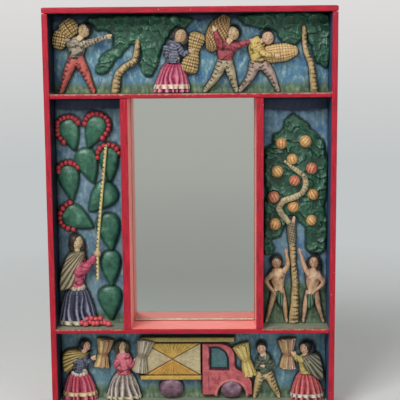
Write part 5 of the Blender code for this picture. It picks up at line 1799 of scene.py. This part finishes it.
def slat(node):
    """Uneven rounded bar in the place of a packed slat, with the numbers that its paint reads."""
    low, high = (np.array(corner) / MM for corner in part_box(node))
    long = int(np.argmax(high - low))
    p, q = (axis for axis in range(3) if axis != long)
    middle, half = (high + low) / 2, (high - low) / 2
    spots, ways = rounded_ring(half[p], half[q])
    stations = np.linspace(low[long], high[long], round(2 * half[long] / STATION_STEP))
    rings = np.zeros((len(stations), len(spots), 3))
    rings[..., long] = stations[:, None]
    rings[..., p], rings[..., q] = middle[p] + spots[:, 0], middle[q] + spots[:, 1]
    from_end = np.minimum(stations - low[long], high[long] - stations)
    taper = RAIL_TAPER if node.endswith("rail") else BUTT_TAPER
    inward = 0.1 + 0.1 * grain(rings, 16.0, middle[0]) + np.interp(from_end, (0, 2.1), (taper, 0))[:, None]
    corner = 1 - np.abs(ways).max(1)
    inward = inward + 1.6 * corner * np.clip(grain(rings, 5.0, middle[2]) - 0.35, 0, 1)
    rings[..., p] -= ways[:, 0] * inward
    rings[..., q] -= ways[:, 1] * inward
    around = np.concatenate([[0], np.cumsum(np.linalg.norm(np.roll(spots, -1, axis=0) - spots, axis=1))])
    clay = Clay()
    around = np.broadcast_to(around, (len(stations), len(around)))
    clay.wrap(rings, enamel, np.zeros(rings.shape[:2]), around, stations)
    piece = clay.done("crimson_painted_wood", node, name=node + "_painted")
    points = np.vstack(clay.points)
    gaps = np.minimum(points - low, high - points)
    inside, level = np.full(len(points), -9.0), np.zeros(len(points))
    for box in (top, bottom, left, right):
        across, up = points[:, 0] - box.left, points[:, 2] - box.floor
        within = (across > -WALL_REACH) & (across < box.wide + WALL_REACH)
        within &= (up > -WALL_REACH) & (up < box.high + WALL_REACH) & (points[:, 1] < box.back)
        inside = np.where(within, points[:, 1] - FRONT - PAINT_STEP, inside)
        # Each box's left wall and ceiling are marked for the navy painted shade of the enamel.
        level = np.where(within & (across < WALL_REACH), SIDE, level)
        level = np.where(within & (up > box.high - WALL_REACH), CEILING, level)
        level = np.where(within & (up < WALL_REACH), FLOOR, level)
    by_glass = ((points - glass_low) > OPENING_REACH).all(1) & ((glass_high - points) > OPENING_REACH).all(1)
    inside = np.where(by_glass, points[:, 1] - FRONT - PAINT_STEP, inside)
    level = np.where(by_glass, BY_GLASS, level)
    store(piece.data, "lip", (points[:, 1] - FRONT < LIP_DEEP) & (level == FLOOR))
    store(piece.data, "arris", np.maximum(gaps[:, p], gaps[:, q]))
    store(piece.data, "inside", inside)
    store(piece.data, "level", level)


for node in ("bottom_rail", "top_rail", "left_stile", "right_stile", "lower_shelf", "upper_shelf",
             "left_divider", "right_divider"):
    slat(node)

# %% [markdown]
# ## Painted grounds
# Behind each scene lies a panel painted as sky and grass: upright strokes of paler blue, grass that
# fades upwards in strokes, a navy band under the ceiling that is partly a painted band and partly
# painted shade, painted shade towards each box's left wall, and a dark line round every figure, partly
# the painter's outline along its edge and partly painted shade where figure and ground meet. The
# distance to the nearest modelled point, stored on the panel, lets the paint draw that line.

# %% Grounds
BANK, NEAR_GROUND = 4.5, 5.0
STROKE_SIZES = ((4.2, 9.0), (15.0, 12.0), (1.3, 1.3))


def ground_paint(name, box, middle, pale, deep, grass, band):
    """Sky with strokes, grass up to a height, and a navy band under the ceiling that is partly painted shade,
    in mm.
    """
    material, tree, shader = finish_for(name, 0.62, IOR=1.48)
    spot = add(tree, "UVMap", uv_map="paint_map")
    x, z, _ = add(tree, "SeparateXYZ", {0: spot}, out="all")
    near = add(tree, "Attribute", out="Fac", attribute_name="near")
    stroke, cloud, fine = (
        add(tree, "TexNoise", {
            "Vector": add(tree, "VectorMath", {
                0: spot, 1: (1 / wide, 1 / high, 1.0),
            }, operation="MULTIPLY"), "Scale": 1.0, "Detail": 4.0, "Roughness": 0.6,
        }) for wide, high in STROKE_SIZES
    )
    sky = coat(tree, middle, deep, cloud, 0.42, 0.64)
    sky = coat(tree, sky, pale, stroke, 0.5, 0.7, 0.78)
    green = coat(tree, "#3e5640", "#7f9272", stroke, 0.4, 0.7)
    land = coat(tree, sky, green, z, grass - 8.0, grass - 13.0, 1.0, stroke, -22.0)
    band_and_shade_start = box.high - band
    # Painted shade: partly the navy band under the ceiling, wholly the darkening towards the left wall, and
    # partly the dark line round the figures.
    for tone, value, low, high, most, noise, stir in (
        ("#1d2440", z, band_and_shade_start + 5.0, band_and_shade_start + 8.0, 0.92, cloud, 12.0),
        ("#242f3a", x, 10.0, 4.0, 0.7, fine, 7.0), ("#1d2723", near, 3.6, 1.9, 0.85, fine, 2.4),
    ):
        land = coat(tree, land, tone, value, low, high, most, noise, stir)
    relief = add(tree, "Bump", {"Height": stroke, "Strength": 0.5, "Distance": 0.2 * MM})
    wire(shader, Base_Color=land, Normal=relief)
    return material


def ground(box, paint):
    """Panel with shallow brush furrows behind a scene and a low bank of earth at its foot."""

    def rise(x, z, depth):
        furrow = grain(np.column_stack([x / 2.2, z / 12]), 1.0)
        bank = BANK * np.clip(1 - z / BANK, 0, 1) ** 2
        return bank - 0.25 - 0.2 * furrow - 1.0 * np.clip(1 - depth / 1.4, 0, 1), 0.2 * furrow

    clay = Clay(box, pressed=False)
    outline = box_outline(GROUND_GAP, GROUND_GAP, box.wide - GROUND_GAP, box.high - GROUND_GAP)
    clay.plate(outline, rise, paint, fine=1.2, back=box.face - box.back)
    piece = clay.done("blue_painted_paste", box.ground, name=box.ground + "_painted")
    figures = np.vstack(box.modelled)
    figures = figures[figures[:, 2] < NEAR_GROUND]
    nearest = KDTree(len(figures))
    for i, point in enumerate(figures):
        nearest.insert((point[0], point[1], 0), i)
    nearest.balance()
    points = np.vstack(clay.points)
    store(piece.data, "near", [nearest.find((x, z, 0))[2] for x, z, _ in points])


for box, *tones in (
    (top, "#5a8594", "#b2c9c6", "#3c6a92", 9.0, 7.0), (bottom, "#60848f", "#96b2b4", "#436c80", 11.0, 6.0),
    (left, "#6a8793", "#95abb2", "#48677f", 10.0, 13.0), (right, "#678798", "#9ab0b6", "#42698f", 44.0, 15.0),
):
    ground(box, ground_paint(f"tempera_{box.ground}", box, *tones))

# %% [markdown]
# ## Looking glass
# The glass is a plain silvered sheet; the imported shape is right, so it keeps it and only gets a finish:
# slightly grey silvering, a little darker towards the bottom, with faint clouds. A thin bead of putty closes
# its lower joint.

# %% Glass and putty
HAZE = 45
PUTTY, JOINT_STEPS, JOINT_IN = 0.9, 60, 0.8
silvered, tree, shader = finish_for("greyed_silvering", 0.05, Metallic=1.0)
spot = add(tree, "TexCoord", out="Object")
haze = add(tree, "TexNoise", {"Vector": spot, "Scale": 1 / (HAZE * MM), "Detail": 3.0})
rising = add(tree, "MapRange", {
    "Value": add(tree, "SeparateXYZ", {0: spot}, out="Z"),
    "From Min": glass_low[2] * MM, "From Max": glass_high[2] * MM,
})
# The silvering is a little darker towards the bottom, with faint clouds.
silver = coat(tree, "#dce0da", "#e2e7e0", rising, 0.0, 1.0, 1.0, haze, 0.4)
sheen = add(tree, "MapRange", {"Value": haze, "To Min": 0.03, "To Max": 0.12})
wire(shader, Base_Color=silver, Roughness=sheen)
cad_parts["mirror_glass"].material_slots[0].material = silvered

putty = tempera("putty", "#e8d2bc", "#d6b49c", "#f3e6d8")
putty.name = "cream_putty"
clay = Clay(top, pressed=False)
joint_x = np.linspace(glass_low[0] + JOINT_IN, glass_high[0] - JOINT_IN, JOINT_STEPS)
joint = np.column_stack([
    joint_x - top.left, np.full(JOINT_STEPS, glass_low[2] + PUTTY - top.floor),
    np.full(JOINT_STEPS, top.face - glass_low[1] + PUTTY),
])
clay.roll(joint, PUTTY * (1 + 0.2 * grain(joint, 7.0)), putty, fine=2.0)
clay.done("cream_painted_paste", name="glass_putty")

# %% [markdown]
# ## Back of the mirror
# The back is plain work: a softwood board nailed in, and a pressed steel sawtooth hanger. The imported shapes
# are right and only get finishes. Pine shows rings drawn out along the board; dull steel has fine
# scratches, drawn coarser here than the real ones, which are too fine to show.

# %% Board and hanger
PINE_WIDE, PINE_LONG = 7 * MM, 120 * MM
SCRATCH = 3
pine, tree, shader = finish_for("plain_pine_board", 0.68, IOR=1.5)
stretched = add(tree, "VectorMath", {
    0: add(tree, "TexCoord", out="Object"), 1: (1 / PINE_WIDE, 1 / PINE_WIDE, 1 / PINE_LONG),
}, operation="MULTIPLY")
rings_of_wood = add(tree, "TexNoise", {
    "Vector": stretched, "Scale": 1.0, "Detail": 7.0, "Roughness": 0.62, "Distortion": 0.6,
})
wood = coat(tree, "#a98557", "#cda878", rings_of_wood, 0.35, 0.65)
relief = add(tree, "Bump", {"Height": rings_of_wood, "Strength": 0.4, "Distance": 0.3 * MM})
wire(shader, Base_Color=wood, Normal=relief)
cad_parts["back_board"].material_slots[0].material = pine
steel, tree, shader = finish_for("dull_steel_strip", 0.38, Metallic=1.0)
scratch = add(tree, "TexNoise", {
    "Vector": add(tree, "TexCoord", out="Object"), "Scale": 1 / (SCRATCH * MM), "Detail": 5.0,
})
sheen = add(tree, "MapRange", {"Value": scratch, "To Min": 0.28, "To Max": 0.5})
wire(shader, Base_Color=coat(tree, "#9a9a98", "#c4c3bf", scratch, 0.0, 1.0), Roughness=sheen)
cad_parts["sawtooth_hanger"].material_slots[0].material = steel
print("finishes so far:", len(bpy.data.materials))

# %% [markdown]
# ## Nails
# Small round-headed nails hold the board and the hanger, and two go into the end of each shelf from the
# side. One shape, a short shank with a domed head, is copied on all of their places.

# %% Nails
EDGE_IN, ROW_IN, HANGER_IN = 8, 14, 4
HANGER_UP, SUNK = 2, 0.05
nail_shape = pattern_shape("nail_shape", [
    (0.45, -0.8), (0.45, 0.0), (1.0, 0.02), (1.0, 0.16), (0.8, 0.26), (0.4, 0.3),
])
board_low, board_high = (np.array(corner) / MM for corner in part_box("back_board"))
hanger_low, hanger_high = (np.array(corner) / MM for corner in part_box("sawtooth_hanger"))
rows = np.linspace(board_low[2] + ROW_IN, board_high[2] - ROW_IN, 5)
ends = (board_low[2] + EDGE_IN, board_high[2] - EDGE_IN)
hanger_row = (hanger_low[2] + hanger_high[2]) / 2 + HANGER_UP
back_nails = [(x, board_high[1], z) for x in (board_low[0] + EDGE_IN, board_high[0] - EDGE_IN) for z in rows]
back_nails += [(x, board_high[1], z) for x in (-60, 60) for z in ends]
back_nails += [
    (x, hanger_high[1], hanger_row) for x in (hanger_low[0] + HANGER_IN, hanger_high[0] - HANGER_IN)
]
clay = Clay()
clay.graft(*copies(back_nails, nail_shape, steel, 1.7, lift=(0, 1, 0), aim=(1, 0, 0), seed=2), steel)
clay.done("steel_plate", name="back_nails")
shelf_rows = [
    sum(corner[2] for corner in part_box(shelf)) / 2 / MM for shelf in ("lower_shelf", "upper_shelf")
]
side_nails = [
    (side * (cad_box[1][0] / MM - SUNK), y, z) for side in (-1, 1) for y in (-12, 8) for z in shelf_rows
]
ways = [(math.copysign(1, x), 0, 0) for x, _, _ in side_nails]
clay = Clay()
clay.graft(*copies(side_nails, nail_shape, steel, 1.5, lift=ways, aim=(0, 1, 0), tilt=0.1, seed=3), steel)
clay.done("steel_plate", name="side_nails")

# %% [markdown]
# ## Floor and backdrop
# A pale paper bowl stands for the studio: a round floor that turns up into a wall on every side, so the
# looking glass also has something plain to reflect. The eye and the glass see the paper in one even tone,
# pale behind the object and greyer on the near side, and close by it still takes shadows.

# %% Stage
BOWL, SWEEP, WALL_HIGH = 2.6, 0.6, 2.8
BOWL_SIDES = 96
NEAR_FLOOR, FAR_FLOOR = 0.35, 1.0
bend = np.linspace(0, math.pi / 2, 16)
profile = [(0.05, 0.0), (0.6, 0.0), (1.2, 0.0)]
profile += [(BOWL - SWEEP + SWEEP * math.sin(a), SWEEP - SWEEP * math.cos(a)) for a in bend]
profile.append((BOWL, WALL_HIGH))
turn = np.linspace(0, math.tau, BOWL_SIDES, endpoint=False)
bowl_points = [(r * math.cos(a), r * math.sin(a), z) for r, z in profile for a in turn]
pairs = [(j, (j + 1) % BOWL_SIDES) for j in range(BOWL_SIDES)]
starts = [i * BOWL_SIDES for i in range(len(profile))]
bowl_faces = [(k + a, k + b, i + b, i + a) for i, k in zip(starts, starts[1:]) for a, b in pairs]
bowl_faces.append(tuple(range(BOWL_SIDES)))
bowl_mesh = bpy.data.meshes.new("paper_bowl")
bowl_mesh.from_pydata(bowl_points, [], bowl_faces)
bowl_mesh.shade_smooth()
paper_bowl = bpy.data.objects.new("paper_bowl", bowl_mesh)
bpy.context.scene.collection.objects.link(paper_bowl)
paper, tree, shader = finish_for("matt_paper", 0.9)
spot = add(tree, "TexCoord", out="Object")
tint = add(tree, "TexNoise", {"Vector": spot, "Scale": 3.0, "Detail": 2.0})
wire(shader, Base_Color=coat(tree, "#e0e2e1", "#e5e5e2", tint, 0.0, 1.0))
away = add(tree, "VectorMath", {0: spot}, out="Value", operation="LENGTH")
_, depth, height = add(tree, "SeparateXYZ", {0: spot}, out="all")
mirrored = coat(tree, "#a2a2a1", "#bdbdbb", away, NEAR_FLOOR, BOWL)
shown = coat(tree, "#c2c6c6", "#dddbda", height, 0.05, SWEEP)
plain_tone = add(tree, "Emission", {"Color": coat(tree, shown, mirrored, depth, 0.0, -0.6)})
rays = add(tree, "LightPath", out="all")
behind = add(tree, "MapRange", {"Value": away, "From Min": NEAR_FLOOR, "From Max": FAR_FLOOR})
seen = add(tree, "Math", {0: rays["Is Camera Ray"], 1: behind}, operation="MULTIPLY")
for kind in ("Glossy", "Transmission"):
    seen = add(tree, "Math", {0: seen, 1: rays[f"Is {kind} Ray"]}, operation="MAXIMUM")
whole = add(tree, "MixShader", {0: seen, 1: shader.outputs[0], 2: plain_tone})
wire(tree.nodes["Material Output"], Surface=whole)
bowl_mesh.materials.append(paper)
print("bowl:", 2 * BOWL, "m wide,", len(bowl_faces), "faces")

# %% [markdown]
# ## Light
# A broad lamp high in front and a weaker one from the side give the soft light of the photograph, and a
# pale room fills the shadows, so that the relief shows without hard edges.

# %% Lamps and room
def lamp(name, place, aim, size, watts):
    """Square area lamp that looks at a point."""
    data = bpy.data.lights.new(name, "AREA")
    data.size, data.energy = size, watts
    light = bpy.data.objects.new(name, data)
    light.location = place
    light.rotation_euler = (Vector(aim) - Vector(place)).to_track_quat("-Z", "Y").to_euler()
    bpy.context.scene.collection.objects.link(light)
    print(name, watts, "W,", size, "m wide")


middle = (cad_box[0] + cad_box[1]) / 2
lamp("key_lamp", (-0.75, -1.35, 1.45), middle, 0.8, 26)
lamp("fill_lamp", (1.2, -1.3, 0.75), middle, 1.2, 7)
world = bpy.data.worlds.new("soft_room")
bpy.context.scene.world = world
world.use_nodes = True
world.node_tree.nodes["Background"].inputs["Color"].default_value = linear("#e4e6e8")
world.node_tree.nodes["Background"].inputs["Strength"].default_value = 0.48

# %% [markdown]
# ## Camera
# The camera stands where the photograph was taken from: about a metre in front and a little above, looking
# slightly down. Its place, turn and lens were fitted to the straight edges of the frame.

# %% Camera
CAMERA_PLACE = (0.0298, -1.0124, 0.3673)
YAW, PITCH, ROLL = -1.18, 7.85, -0.43
LENS = 85.5
yaw, pitch, roll = (math.radians(angle) for angle in (YAW, PITCH, ROLL))
ahead = Vector((math.sin(yaw) * math.cos(pitch), math.cos(yaw) * math.cos(pitch), -math.sin(pitch)))
camera = bpy.data.objects.new("camera", bpy.data.cameras.new("camera"))
camera.data.lens = LENS
camera.location = CAMERA_PLACE
camera.rotation_mode = "QUATERNION"
camera.rotation_quaternion = Quaternion(ahead, -roll) @ ahead.to_track_quat("-Z", "Y")
bpy.context.scene.collection.objects.link(camera)
bpy.context.scene.camera = camera
bpy.context.scene.view_settings.view_transform = "Standard"
print("camera", round((camera.location - Vector(middle)).length, 3), "m from the middle of the mirror")
